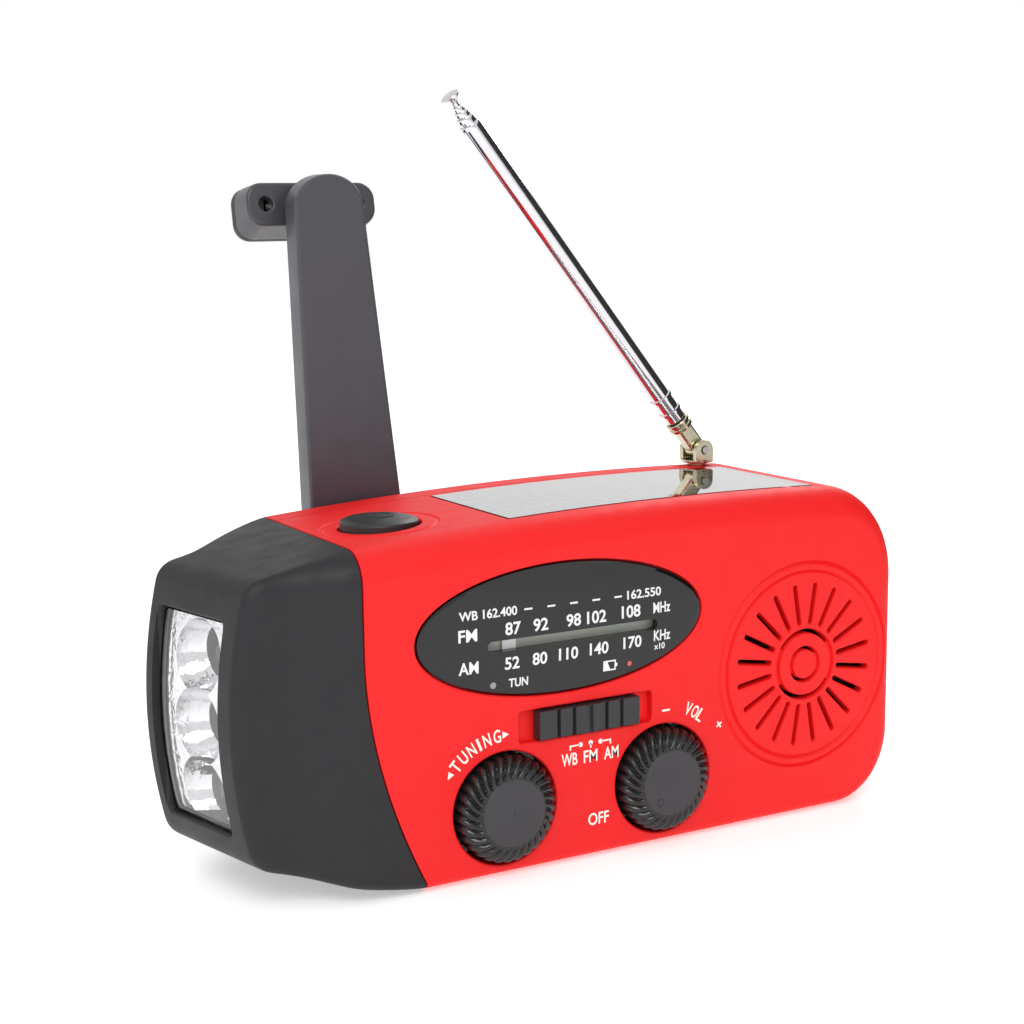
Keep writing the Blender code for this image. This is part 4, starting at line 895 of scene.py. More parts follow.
window = dial_window()
slot_radius = (DIAL_SLOT_HIGH[1] - DIAL_SLOT_LOW[1]) / 2 - 0.01
slot_outline = rounded(DIAL_SLOT_LOW, DIAL_SLOT_HIGH, slot_radius, 10)
cut(window, prism("cutter_slot", slot_outline, -24.0, -19.0, "Y"))
finish_piece(window, "case", "gloss_black", "dial_window", materials=[DIAL_BLACK])
BACKING_BOX = (-24.0, -19.8, 32.0), (17.0, -19.2, 45.4)
NEEDLE_SLIT = (-21.0, -21.0, 36.4), (14.0, -18.0, 37.2)
plate = box("dial_backing", *BACKING_BOX)
cut(plate, box("cutter_stem_slit", *NEEDLE_SLIT))
finish_piece(plate, "case", "white_plastic", "dial_plate", materials=[BACKING])
pointer_x = middle("dial_pointer").x
needle = box("dial_needle", (pointer_x - NEEDLE_HALF, -20.6, 37.0), (pointer_x + NEEDLE_HALF, -20.0, 41.0))
stem = box("needle_stem", (pointer_x - NEEDLE_HALF, -20.1, 36.5), (pointer_x + NEEDLE_HALF, -15.8, 37.1))
cut(needle, stem, operation="UNION")
soften(needle, 0.12, 2)
finish_piece(needle, "dial_pointer", "white_plastic", "dial_pointer", materials=[POINTER_WHITE])

# %% [markdown]
# ## Printed numbers and words
# The scale and the control labels are pad printed: a film of ink a few hundredths of a millimetre thick.
# Each word is set as text, made a mesh, fitted to its printed height and width, and laid on the surface.
# Only plain scale numbers and control words are used.

# %% Print helpers
INK = 0.035


def word(body, x, z, height, width=None, turn=0.0, weight=0.02):
    """The outline of a word, centred on a place, as a mesh in the plane of the front."""
    text = bpy.data.curves.new(body, "FONT")
    text.body = body
    text.offset = weight
    text.extrude = 0.5
    text.resolution_u = 4
    holder = linked("word", text)
    graph = bpy.context.evaluated_depsgraph_get()
    mesh = bpy.data.meshes.new_from_object(holder.evaluated_get(graph))
    bpy.data.objects.remove(holder, do_unlink=True)
    piece = linked("word", mesh)
    low = Vector(map(min, zip(*[v.co for v in mesh.vertices])))
    high = Vector(map(max, zip(*[v.co for v in mesh.vertices])))
    tall = height / (high.y - low.y)
    wide = width / (high.x - low.x) if width else tall
    spin = Matrix.Rotation(turn, 3, "Z")
    for vertex in mesh.vertices:
        flat = vertex.co - (low + high) / 2
        a, b, _ = spin @ Vector((flat.x * wide, flat.y * tall, 0.0))
        vertex.co = Vector((x + a, -INK if vertex.co.z > 0 else INK, z + b)) * MM
    return piece


def mark(outline):
    return prism("mark", outline, -INK, INK, "Y")


def bar(x0, z0, x1, z1):
    return mark([(x0, z0), (x1, z0), (x1, z1), (x0, z1)])


def laid(name, marks, surface, slot, material):
    """Ink marks joined and laid on a surface given as a function of place."""
    piece = joined(name, marks)
    for vertex in piece.data.vertices:
        x, y, z = vertex.co / MM
        vertex.co.y = (surface(x, z) + y) * MM
    shape = bmesh.new()
    shape.from_mesh(piece.data)
    bmesh.ops.remove_doubles(shape, verts=shape.verts, dist=0.001 * MM)
    bmesh.ops.recalc_face_normals(shape, faces=shape.faces)
    shape.to_mesh(piece.data)
    shape.free()
    return finish_piece(piece, "case", slot, materials=[material])


# %% Dial print
SCALE_TEXT = (
    ("WB 162.400", -20.4, 44.75, 1.55, 10.6), ("162.550", 9.7, 44.75, 1.55, 6.9),
    ("FM", -24.2, 41.5, 2.05, 3.4), ("87", -15.9, 41.8, 2.15, None), ("92", -10.7, 41.8, 2.15, None),
    ("98", -4.4, 41.8, 2.15, None), ("102", 0.1, 41.8, 2.15, None), ("108", 7.0, 41.9, 2.15, None),
    ("MHz", 13.3, 41.9, 1.85, 3.5), ("AM", -24.1, 36.1, 2.05, 3.6), ("52", -16.1, 36.0, 2.1, None),
    ("80", -10.9, 36.1, 2.1, None), ("110", -5.4, 36.2, 2.1, None), ("140", 0.6, 36.3, 2.1, None),
    ("170", 7.3, 36.5, 2.1, None), ("KHz", 13.4, 37.0, 1.85, 3.4), ("x10", 12.9, 35.1, 1.1, 2.2),
    ("TUN", -14.9, 32.6, 1.5, 3.6),
)
dial_marks = [word(*entry) for entry in SCALE_TEXT]
dial_marks += [bar(x - 0.75, 44.55, x + 0.75, 44.85) for x in spaced(-13.0, 4.4, 4)]
frame_bars = ((1.5, 32.1, 4.0, 32.35), (1.5, 33.65, 4.0, 33.9), (1.5, 32.1, 1.75, 33.9),
              (3.75, 32.1, 4.0, 33.9))
dial_marks += [bar(*edges) for edges in frame_bars]
dial_marks += [bar(4.0, 32.7, 4.3, 33.3), mark([(1.75, 32.3), (2.9, 32.3), (2.3, 33.7), (1.75, 33.7)])]
laid("dial_print", dial_marks, dome_y, "white_plastic", PRINT_WHITE)
laid("tuning_light", [mark(circle((-19.6, 32.6), 0.55, 24))], dome_y, "clear_plastic", PRINT_GREY)
laid("battery_light", [mark(circle((6.8, 32.8), 0.42, 24))], dome_y, "clear_plastic", PRINT_RED)

# %% Case print
LABEL_RADIUS, LABEL_HEIGHT, LABEL_WEIGHT, BAND_LABEL_Z = 12.6, 2.15, 0.012, 17.75


def around(knob_place, body, degrees, height=2.25, width=1.35, reach=LABEL_RADIUS):
    angle = math.radians(degrees)
    x, z = knob_place.x + reach * math.cos(angle), knob_place.z + reach * math.sin(angle)
    return word(body, x, z, height, width, angle - math.pi / 2, LABEL_WEIGHT)


def arrow(knob_place, degrees, side, reach=LABEL_RADIUS, size=0.6):
    angle = math.radians(degrees)
    along = Vector((math.sin(angle), -math.cos(angle))) * side
    out = Vector((math.cos(angle), math.sin(angle))) * reach
    tip = Vector((knob_place.x, knob_place.z)) + out + along * size
    across = Vector((-along.y, along.x)) * size
    return mark([tip, tip - along * size * 2 + across, tip - along * size * 2 - across])


labels = [around(TUNING, letter, degrees, width=0.45 if letter == "I" else 1.35)
          for letter, degrees in zip("TUNING", (137.0, 128.3, 119.8, 112.8, 105.6, 96.8))]
labels += [arrow(TUNING, 145.5, -1), arrow(TUNING, 89.5, 1)]
labels += [around(VOLUME, letter, degrees, 2.3, 1.25, 12.8)
           for letter, degrees in zip("VOL", (65.5, 58.6, 52.2))]
labels += [around(VOLUME, "+", 33.5, 1.3, 1.3, 14.2), bar(13.5, 23.3, 15.1, 23.65)]
labels += [word(body, x, z, LABEL_HEIGHT, width, weight=LABEL_WEIGHT)
           for body, x, z, width in (("OFF", 0.5, 6.5, 4.1), ("WB", -5.2, BAND_LABEL_Z, 3.1),
                                     ("FM", -1.05, BAND_LABEL_Z, 2.7), ("AM", 3.1, BAND_LABEL_Z, 2.9))]
labels += [bar(-5.15, 19.3, -4.9, 20.15), bar(-4.9, 19.9, -3.2, 20.15), mark(circle((-3.0, 20.02), 0.42, 20)),
           bar(-1.13, 19.2, -0.88, 20.0), mark(circle((-1.0, 20.1), 0.42, 20)),
           bar(2.8, 19.3, 3.05, 20.15), bar(1.2, 19.9, 2.8, 20.15), mark(circle((0.95, 20.02), 0.42, 20))]
laid("case_print", labels, lambda x, z: CASE_FRONT, "white_plastic", PRINT_MINT)

# %% [markdown]
# ## Knobs
# Each knob is a low dome with a flat centre disc and thirty swirled ridges for the fingers. The ridges
# could be modelled one by one, but they follow a rule, so a Geometry Nodes tree presses them into a
# turned dome: it finds each point's angle about the shaft, adds a twist that grows towards the rim and
# pushes the point in between two ridges.

# %% Build the ridge tree
CREST_POWER, RIDGE_START_SLOPE = 0.7, 4.0


def ridge_tree():
    inputs = (("Centre", "Vector"), ("Ridges", "Float"), ("Depth", "Float"), ("Inner", "Float"),
              ("Outer", "Float"), ("Twist", "Float"), ("Material", "Material"))
    group, given, out = start_tree("press_ridges", inputs)

    def math_node(operation, *values, clamp=False):
        return add_node(group, "ShaderNodeMath", enumerate(values), operation=operation,
                        use_clamp=clamp).outputs["Value"]

    def vector_node(operation, first, second):
        socket = "Scale" if operation == "SCALE" else 1
        return add_node(group, "ShaderNodeVectorMath", {0: first, socket: second},
                        operation=operation).outputs["Vector"]

    place_in = group.nodes.new("GeometryNodeInputPosition").outputs["Position"]
    from_centre = vector_node("SUBTRACT", place_in, given.outputs["Centre"])
    split = add_node(group, "ShaderNodeSeparateXYZ", {"Vector": from_centre})
    x, z = split.outputs["X"], split.outputs["Z"]
    radius = math_node("SQRT", math_node("ADD", math_node("MULTIPLY", x, x), math_node("MULTIPLY", z, z)))
    width = math_node("SUBTRACT", given.outputs["Outer"], given.outputs["Inner"])
    from_inner = math_node("SUBTRACT", radius, given.outputs["Inner"])
    out_share = math_node("DIVIDE", from_inner, width, clamp=True)
    twist = math_node("MULTIPLY", out_share, given.outputs["Twist"])
    turns = math_node("DIVIDE", math_node("ADD", math_node("ARCTAN2", z, x), twist), TURN)
    phase = math_node("FRACT", math_node("MULTIPLY", turns, given.outputs["Ridges"]))
    crest = math_node("POWER", math_node("SINE", math_node("MULTIPLY", phase, math.pi)), CREST_POWER)
    start = math_node("MULTIPLY", out_share, RIDGE_START_SLOPE, clamp=True)
    press = math_node("MULTIPLY", math_node("SUBTRACT", 1.0, crest), math_node("MULTIPLY", start, -1.0))
    amount = math_node("MULTIPLY", press, given.outputs["Depth"])
    normal = group.nodes.new("GeometryNodeInputNormal").outputs["Normal"]
    mover = add_node(group, "GeometryNodeSetPosition", {"Geometry": given.outputs["Geometry"],
                                                        "Offset": vector_node("SCALE", normal, amount)})
    return end_tree(group, given, out, mover.outputs["Geometry"])


RIDGES = ridge_tree()
print("tree", RIDGES.name, "with", len(RIDGES.nodes), "nodes")

# %% Knobs
RIM_RADIUS, DISC_RADIUS, RIDGE_COUNT, RIDGE_DEPTH, RIDGE_TWIST = 9.2, 5.75, 30, 0.8, 0.27
SKIRT_Y, SKIRT_RADIUS, SKIRT_DEPTH, RIM_Y, KNOB_FACE_Y = -19.4, 8.6, 0.8, -22.1, TUNING.y
SIDES_PER_RIDGE = 12


def knob(name, node, centre):
    profile = [(0.05, SKIRT_Y + SKIRT_DEPTH), (SKIRT_RADIUS, SKIRT_Y + SKIRT_DEPTH), (SKIRT_RADIUS, SKIRT_Y)]
    profile += [(RIM_RADIUS, y) for y in spaced(SKIRT_Y, RIM_Y, 4)]
    for angle in spaced(0.0, math.pi / 2, 12)[1:]:
        reach = DISC_RADIUS + (RIM_RADIUS - DISC_RADIUS) * math.cos(angle)
        profile.append((reach, RIM_Y + (KNOB_FACE_Y + 0.05 - RIM_Y) * math.sin(angle)))
    piece = turned(name, (centre.x, centre.z), profile, RIDGE_COUNT * SIDES_PER_RIDGE, "Y")
    set_inputs(piece, RIDGES, {"Centre": tuple(centre * MM), "Ridges": float(RIDGE_COUNT),
                               "Depth": RIDGE_DEPTH * MM, "Inner": DISC_RADIUS * MM, "Outer": RIM_RADIUS * MM,
                               "Twist": RIDGE_TWIST, "Material": KNOB_RIDGE})
    finish_piece(piece, node, "soft_black", node, angle=50.0)
    edge = [(DISC_RADIUS + 0.02, RIM_Y), (DISC_RADIUS + 0.02, KNOB_FACE_Y + 0.02),
            (DISC_RADIUS - 0.1, KNOB_FACE_Y - 0.08), (DISC_RADIUS - 0.5, KNOB_FACE_Y - 0.1),
            (0.02, KNOB_FACE_Y - 0.06)]
    return turned(name + "_disc", (centre.x, centre.z), edge, 96, "Y")


tuning_disc = knob("tuning_knob_ridged", "tuning_knob", TUNING)
dimple_profile = ((0.35, -26.0), (0.3, KNOB_FACE_Y - 0.02), (0.05, KNOB_FACE_Y + 0.1))
cut(tuning_disc, turned("dimple", (TUNING.x, TUNING.z), dimple_profile, 16, "Y"))
finish_piece(tuning_disc, "tuning_knob", "soft_black", materials=[KNOB_DISC])
volume_disc = knob("volume_knob_ridged", "volume_knob", VOLUME)
spot = (VOLUME.x - 2.5, VOLUME.z - 3.2)
loop = [(0.62 + a, KNOB_FACE_Y - 0.12 + b) for a, b in circle((0, 0), 0.13, 8)]
cut(volume_disc, turned_ring("cutter_mark", spot, loop, 24, "Y"))
finish_piece(volume_disc, "volume_knob", "soft_black", materials=[KNOB_DISC])

# %% [markdown]
# ## Band switch and flashlight button
# The switch cap is one moulding with a notch in its middle and two finger grooves on each side. It is
# the side profile of the cap, pushed through its height and softened. The button is a turned dome with a
# raised generic power mark.

# %% Switch cap
CAP_LOW, CAP_HIGH = corners("band_switch_slider")
cap_middle, cap_half = (CAP_LOW.x + CAP_HIGH.x) / 2, (CAP_HIGH.x - CAP_LOW.x) / 2
SWITCH_FACE_Y, SWITCH_FOOT_Y, GROOVE_DEPTH = CAP_LOW.y, -20.8, 0.75


def groove(at, half=0.36):
    floor_half = half * 0.4
    return [(at - half, 0.0), (at - floor_half, GROOVE_DEPTH), (at + floor_half, GROOVE_DEPTH),
            (at + half, 0.0)]


profile = [(-cap_half, 0.05)]
for at in (-6.2, -3.2):
    profile += [(at - 1.1, 0.28)] + groove(at) + [(at + 1.1, 0.2)]
profile += [(-1.2, -0.12), (-0.45, -0.28), (-0.12, 0.35), (0.12, 0.35), (0.45, -0.28), (1.2, -0.12)]
for at in (3.2, 6.2):
    profile += [(at - 1.1, 0.2)] + groove(at) + [(at + 1.1, 0.28)]
profile += [(cap_half, 0.05)]
outline = [(cap_middle + a, SWITCH_FACE_Y + b) for a, b in profile]
outline += [(CAP_HIGH.x, SWITCH_FOOT_Y), (CAP_LOW.x, SWITCH_FOOT_Y)]
switch = prism("band_switch_cap", outline, 22.2, 27.1, "Z")
soften(switch, 0.14, 2, 30.0)
finish_piece(switch, "band_switch", "soft_black", "band_switch_slider", materials=[SLIDER_BLACK])

# %% Button
BUTTON_RADIUS, BUTTON_RIM_Z, BUTTON_TOP_Z, BUTTON_FOOT_Z = 6.6, 58.25, 59.4, 54.6
BUTTON_EDGE, BUTTON_EDGE_RISE, DOME_RADIUS = 0.55, 0.5, 5.9
dome = [(BUTTON_RADIUS, BUTTON_FOOT_Z)]
dome += [(BUTTON_RADIUS - BUTTON_EDGE + BUTTON_EDGE * math.cos(a), BUTTON_RIM_Z + BUTTON_EDGE_RISE * math.sin(a))
         for a in spaced(0.0, math.radians(70), 5)]
dome_z = BUTTON_RIM_Z + BUTTON_EDGE_RISE
dome += [(DOME_RADIUS * math.cos(a), dome_z + (BUTTON_TOP_Z - BUTTON_RIM_Z - BUTTON_EDGE_RISE) * math.sin(a))
         for a in spaced(math.radians(8), math.radians(89), 12)]
button = turned("lamp_button_dome", (BUTTON.x, BUTTON.y), dome, 72, "Z")
finish_piece(button, "flashlight_button", "soft_black", "flashlight_button", materials=[BUTTON_RUBBER])
SYMBOL_OUT, SYMBOL_IN, SYMBOL_START, SYMBOL_END = 2.5, 1.95, math.radians(125), math.radians(415)
symbol_outline = arc((BUTTON.x, BUTTON.y), SYMBOL_OUT, SYMBOL_START, SYMBOL_END, 24)
symbol_outline += arc((BUTTON.x, BUTTON.y), SYMBOL_IN, SYMBOL_END, SYMBOL_START, 24)
symbol = prism("symbol", symbol_outline, BUTTON_TOP_Z - 0.5, BUTTON_TOP_Z + 0.02, "Z")
dash = box("symbol_bar", (BUTTON.x - 0.28, BUTTON.y + 0.9, BUTTON_TOP_Z - 0.4),
           (BUTTON.x + 0.28, BUTTON.y + 3.1, BUTTON_TOP_Z + 0.02))
emblem = joined("lamp_button_symbol", [symbol, dash])
finish_piece(emblem, "flashlight_button", "soft_black", materials=[BUTTON_RUBBER])

# %% [markdown]
# ## Solar panel
# The panel is a row of dark cells under a clear cover that follows the arch. Seen low across the top the
# cover mirrors the sky and turns almost white; from above the cells show through. Both come from one clear
# shader over a dark one. The thin silver fingers are one strip, repeated.

# %% Panel cover, cells and fingers
CELL_LOW, CELL_HIGH = corners("solar_cell")
COVER_BOTTOM, CELL_TOP, CELL_BOTTOM, FINGER_HALF, FINGER_COUNT = 1.0, 1.25, 2.05, 0.06, 26
BUSBAR_PLACES, BUSBAR_HALF = (-8.0, 4.0), 0.35
cover = under_arch("solar_panel_cover", PANEL_LOW.x, PANEL_HIGH.x, PANEL_LOW.y, PANEL_HIGH.y, -0.1,
                   COVER_BOTTOM)
finish_piece(cover, "case", "clear_plastic", "solar_cover", materials=[COVER])
cells = under_arch("solar_panel_cells", CELL_LOW.x, CELL_HIGH.x, CELL_LOW.y, CELL_HIGH.y, CELL_TOP,
                   CELL_BOTTOM)
finish_piece(cells, "case", "solar_blue", "solar_cell", materials=[CELL_BLUE])
strip = box("finger", (-FINGER_HALF, CELL_LOW.y + 0.8, -0.06), (FINGER_HALF, CELL_HIGH.y - 0.8, 0.04))
rows = [(x, 0.0, top_height(x) - CELL_TOP + 0.03)
        for x in spaced(CELL_LOW.x + 1.2, CELL_HIGH.x - 1.2, FINGER_COUNT)]
fingers = repeated("solar_panel_fingers", strip, rows, STEEL)
bars = [under_arch("bar", CELL_LOW.x + 0.8, CELL_HIGH.x - 0.8, y - BUSBAR_HALF, y + BUSBAR_HALF,
                   CELL_TOP - 0.08, CELL_TOP + 0.05) for y in BUSBAR_PLACES]
finish_piece(fingers, "case", "steel")
finish_piece(joined("solar_panel_busbars", bars), "case", "steel", materials=[STEEL])

# %% [markdown]
# ## Crank
# The hub, arm and grip are drawn with the arm straight up and then leaned to where the arm rests. The arm
# is a flat bar, widest at its root and round at its tip, with a knuckle that folds between the hub's two
# ears. Its edges are broken by a narrow chamfer, which shows as a bright line along its side.

# %% Crank frame
fold_axis = Vector(joints["arm_fold"]["axis"])
LEAN = math.asin(fold_axis.z)
crank_place = shifted((HUB.x, 0.0, HUB.z)) @ Matrix.Rotation(LEAN, 4, "Y")
crank_back = crank_place.inverted()


def along_arm(point):
    """A frame place as (across, back, along) in millimetres from the hub's axle."""
    return (crank_back @ (Vector(point) * MM)) / MM


FOLD = along_arm(joint_place("arm_fold"))
TILT = along_arm(joint_place("grip_tilt"))
ARM_TIP_Z, TIP_HALF, ROOT_HALF, NECK_HALF = 86.0, 6.6, 9.6, 6.0
ARM_FRONT_Y, ARM_BACK_Y, KNUCKLE_RADIUS = 22.9, 28.3, 2.7
ARM_BORE, HUB_BORE, SWIVEL_BORE, SWIVEL_FLOOR = 1.35, 1.3, 3.4, 2.0
print("fold at", [round(c, 1) for c in FOLD], "tilt at", [round(c, 1) for c in TILT])

# %% Arm


def crank_arm():
    shoulder, tip_centre = FOLD.z + 4.2, ARM_TIP_Z - TIP_HALF * 0.85
    outline = [(NECK_HALF, FOLD.z), (NECK_HALF, shoulder), (ROOT_HALF - 0.8, shoulder),
               (ROOT_HALF, shoulder + 0.8)]
    outline += [(TIP_HALF * a, tip_centre + TIP_HALF * 0.85 * b)
                for a, b in arc((0, 0), 1.0, 0.0, math.pi, 36)]
    outline += [(-ROOT_HALF, shoulder + 0.8), (-ROOT_HALF + 0.8, shoulder), (-NECK_HALF, shoulder),
                (-NECK_HALF, FOLD.z)]
    arm = prism("crank_arm_bar", outline, ARM_FRONT_Y, ARM_BACK_Y, "Y")
    soften(arm, 0.75, 3, 50.0)
    knuckle = ((KNUCKLE_RADIUS, -NECK_HALF), (KNUCKLE_RADIUS, NECK_HALF))
    cut(arm, turned("knuckle", (FOLD.y, FOLD.z), knuckle, 48, "X"), operation="UNION")
    socket = ((SWIVEL_BORE, ARM_FRONT_Y + SWIVEL_FLOOR), (SWIVEL_BORE, 40.0))
    cut(arm, turned("cutter_pin", (FOLD.y, FOLD.z), ((ARM_BORE, -20.0), (ARM_BORE, 20.0)), 24, "X"),
        turned("cutter_swivel", (0.0, TILT.z), socket, 40, "Y"))
    return moved(arm, crank_place)


finish_piece(crank_arm(), "crank_arm", "soft_black", "crank_arm", materials=[ARM_BLACK], angle=28.0)

# %% Hub
HUB_RADIUS, HUB_FACE_Y, HUB_FOOT_Y, HUB_EDGE, HUB_DISH, HUB_DISH_DEPTH = 15.8, 21.9, 17.2, 0.7, 13.2, 0.5
AXLE_RADIUS, AXLE_START, AXLE_STEP, AXLE_COLLAR = 2.4, 11.0, 14.7, 3.0
EAR_WIDTH, EAR_RADIUS, EAR_ROOT_Y, EAR_LOW, EAR_HIGH = 2.9, 3.2, 20.0, 5.6, 12.4


def crank_hub():
    profile = [(AXLE_RADIUS, AXLE_START), (AXLE_RADIUS, AXLE_STEP), (AXLE_COLLAR, AXLE_STEP),
               (AXLE_COLLAR, HUB_FOOT_Y), (HUB_RADIUS, HUB_FOOT_Y), (HUB_RADIUS, HUB_FACE_Y - HUB_EDGE)]
    profile += [(HUB_RADIUS - HUB_EDGE + HUB_EDGE * math.cos(a), HUB_FACE_Y - HUB_EDGE + HUB_EDGE * math.sin(a))
                for a in spaced(0.0, math.pi / 2, 5)[1:]]
    profile += [(HUB_DISH + 0.4, HUB_FACE_Y), (HUB_DISH, HUB_FACE_Y - HUB_DISH_DEPTH),
                (0.1, HUB_FACE_Y - HUB_DISH_DEPTH)]
    hub = turned("crank_hub_disc", (0.0, 0.0), profile, 96, "Y")
    for side in (-1, 1):
        low, high = sorted((side * (NECK_HALF + GAP), side * (NECK_HALF + GAP + EAR_WIDTH)))
        outline = [(EAR_ROOT_Y, EAR_LOW), (EAR_ROOT_Y, EAR_HIGH)]
        outline += arc((FOLD.y, FOLD.z), EAR_RADIUS, math.pi / 2, -math.pi / 2, 16)
        ear = prism("ear", outline, low, high, "X")
        soften(ear, 0.35, 2)
        cut(hub, ear, operation="UNION")
    cut(hub, turned("cutter_hinge", (FOLD.y, FOLD.z), ((HUB_BORE, -20.0), (HUB_BORE, 20.0)), 24, "X"))
    return moved(hub, crank_place)


finish_piece(crank_hub(), "crank_hub", "soft_black", "crank_hub", materials=[ARM_BLACK])
PIN_RADIUS, PIN_END_RADIUS, PIN_HALF, PIN_PEEN = 1.2, 0.8, 9.0, 9.2
pin_profile = ((PIN_END_RADIUS, -PIN_PEEN), (PIN_RADIUS, -PIN_HALF), (PIN_RADIUS, PIN_HALF),
               (PIN_END_RADIUS, PIN_PEEN))
pin = turned("arm_pin_peened", (FOLD.y, FOLD.z), pin_profile, 24, "X")
finish_piece(moved(pin, crank_place), "crank_hub", "steel", "arm_hinge_pin", materials=[STEEL])

# %% [markdown]
# ## Grip
# The grip is a cross bar in two shells, screwed together through the near one. It swivels on the arm and
# tilts on a small pin. The shells are rounded blocks; the near one has the slot for the swivel's tongue and
# the two screw holes.

# %% Grip shells and swivel
GRIP_HALF_X, GRIP_NEAR, GRIP_MIDDLE, GRIP_FAR, GRIP_HOLE_X = 12.4, -3.2, 3.6, 5.9, 8.8
GRIP_FACE, GRIP_BELLY = (-3.8, 3.8), (-5.4, 4.2)
GRIP_TILT, GRIP_CORNER = math.radians(-10.0), 3.0
GRIP_HOLE_RADIUS, GRIP_HOLE_DEPTH, GRIP_BORE, GRIP_BORE_HALF = 1.3, 2.8, 1.15, 8.3
grip_place = crank_place @ shifted((0.0, TILT.y, TILT.z)) @ Matrix.Rotation(-LEAN, 4, "Y")
grip_place = grip_place @ Matrix.Rotation(GRIP_TILT, 4, "X")


def grip_ring(y):
    share = min(1.0, (y - GRIP_NEAR) / (GRIP_MIDDLE - GRIP_NEAR))
    low, high = [face + (belly - face) * share for face, belly in zip(GRIP_FACE, GRIP_BELLY)]
    return [(x, y, z) for x, z in rounded((-GRIP_HALF_X, low), (GRIP_HALF_X, high), GRIP_CORNER, 8)]


def grip_shell(name, near, far, width):
    shell = make(name, *stacked([grip_ring(near), grip_ring(far)]))
    soften(shell, width, 4, 60.0)
    return shell


front_grip = grip_shell("grip_near_shell", GRIP_NEAR, GRIP_MIDDLE, 0.6)
holes = [opening(f"cutter_hole_{side}", circle((side * GRIP_HOLE_X, 0.0), GRIP_HOLE_RADIUS, 32), GRIP_NEAR, 1,
                 GRIP_HOLE_DEPTH, 0.35, "Y") for side in (-1, 1)]
grip_bore = ((GRIP_BORE, -GRIP_BORE_HALF), (GRIP_BORE, GRIP_BORE_HALF))
TONGUE_SLOT = (-2.5, -10.0, -10.0), (2.5, 2.6, 10.0)
cut(front_grip, box("cutter_slot", *TONGUE_SLOT),
    turned("cutter_grip_pin", (0.0, 0.0), grip_bore, 24, "X"), *holes)
finish_piece(moved(front_grip, grip_place), "crank_grip", "soft_black", "grip_front_shell",
             materials=[GRIP_BLACK])
rear_grip = grip_shell("grip_far_shell", GRIP_MIDDLE + 0.15, GRIP_FAR, 1.1)
finish_piece(moved(rear_grip, grip_place), "crank_grip", "soft_black", "grip_rear_shell",
             materials=[GRIP_BLACK])
swivel = refined_copy("grip_swivel_post", "grip_swivel", 0.15)
finish_piece(swivel, "grip_swivel", "soft_black", "grip_swivel", materials=[ARM_BLACK])

# %% [markdown]
# ## Antenna
# Four drawn tubes and a rod slide into one another. Each tube is rolled in at its end to hold the next,
# and the lowest one is crimped into a nickel-washed knuckle. Turned profiles give the rolls and crimps.

# %% Tubes, rod and knuckle
pull = Vector(joints["antenna_pull_1"]["axis"])
antenna_place = shifted(ANTENNA) @ Matrix.Rotation(math.atan2(pull.x, pull.z), 4, "Y")
TUBE_RADII, TUBE_WALL = (2.0, 1.66, 1.32, 0.98), 0.18
TUBE_STARTS, TUBE_ENDS = (8.0, 8.6, 9.2, 9.8), (79.5, 81.0, 82.2, 83.2)
ROD_RADIUS, TIP_Z, COLLARS = 0.6, 85.9, (10.2, 13.6)


def antenna_tube(k):
    radius, start, end = TUBE_RADII[k], TUBE_STARTS[k], TUBE_ENDS[k]
    inner = radius - TUBE_WALL
    loop = [(inner, start), (radius - 0.08, start), (radius, start + 0.15)]
    if k == 0:
        for level in COLLARS:
            loop += [(radius, level - 0.45), (radius + 0.28, level - 0.3), (radius + 0.28, level + 0.3),
                     (radius, level + 0.45)]
    loop += [(radius, end - 0.9), (radius - 0.06, end - 0.35), (radius - 0.2, end - 0.05),
             (inner - 0.06, end), (inner - 0.06, end - 0.4), (inner, end - 0.9)]
    return moved(turned_ring(f"antenna_sleeve_{k + 1}", (0.0, 0.0), loop, 48, "Z"), antenna_place)


for k in range(4):
    finish_piece(antenna_tube(k), f"antenna_section_{k + 1}", "chrome", f"antenna_tube_{k + 1}",
                 materials=[CHROME], angle=25.0)
tip = [(ROD_RADIUS, 11.0), (ROD_RADIUS, TIP_Z - 2.0), (0.75, TIP_Z - 1.75), (1.3, TIP_Z - 1.2),
       (1.8, TIP_Z - 0.75), (1.9, TIP_Z - 0.55), (1.8, TIP_Z - 0.35), (1.3, TIP_Z - 0.1), (0.6, TIP_Z),
       (0.02, TIP_Z + 0.02)]
rod = turned("antenna_rod_tip", (0.0, 0.0), tip, 40, "Z")
finish_piece(moved(rod, antenna_place), "antenna_rod", "chrome", "antenna_rod", materials=[CHROME],
             angle=40.0)


def antenna_knuckle():
    eye = ((1.7, -1.5), (1.8, -1.4), (1.8, 1.4), (1.7, 1.5))
    knuckle = turned("antenna_elbow", (0.0, 0.0), eye, 40, "Y")
    block = prism("block", rounded((-1.6, -1.5), (1.6, 1.5), 0.5), 0.4, 6.5, "Z")
    crimp = [(2.2, 5.6), (2.4, 5.8), (2.4, 6.4), (2.15, 6.6), (2.15, 6.8), (2.4, 7.0), (2.4, 7.5), (2.2, 7.7)]
    cut(knuckle, block, turned("crimp", (0.0, 0.0), crimp, 40, "Z"), operation="UNION")
    cut(knuckle, turned("cutter_knuckle", (0.0, 0.0), ((0.9, -4.0), (0.9, 4.0)), 20, "Y"))
    return moved(knuckle, antenna_place)


finish_piece(antenna_knuckle(), "antenna_section_1", "brass", "antenna_knuckle", materials=[BRASS])
fork = refined_copy("antenna_fork", "antenna_base", 0.12)
finish_piece(fork, "antenna_base", "brass", "antenna_base", materials=[BRASS])

# %% [markdown]
# ## Screws, flap and nubs
# Four self-tapping screws hold the back on. One is drawn with its cross recess and repeated on the four
# places. The charging flap is a soft plate with a finger lip, and three small nubs stand under the case.

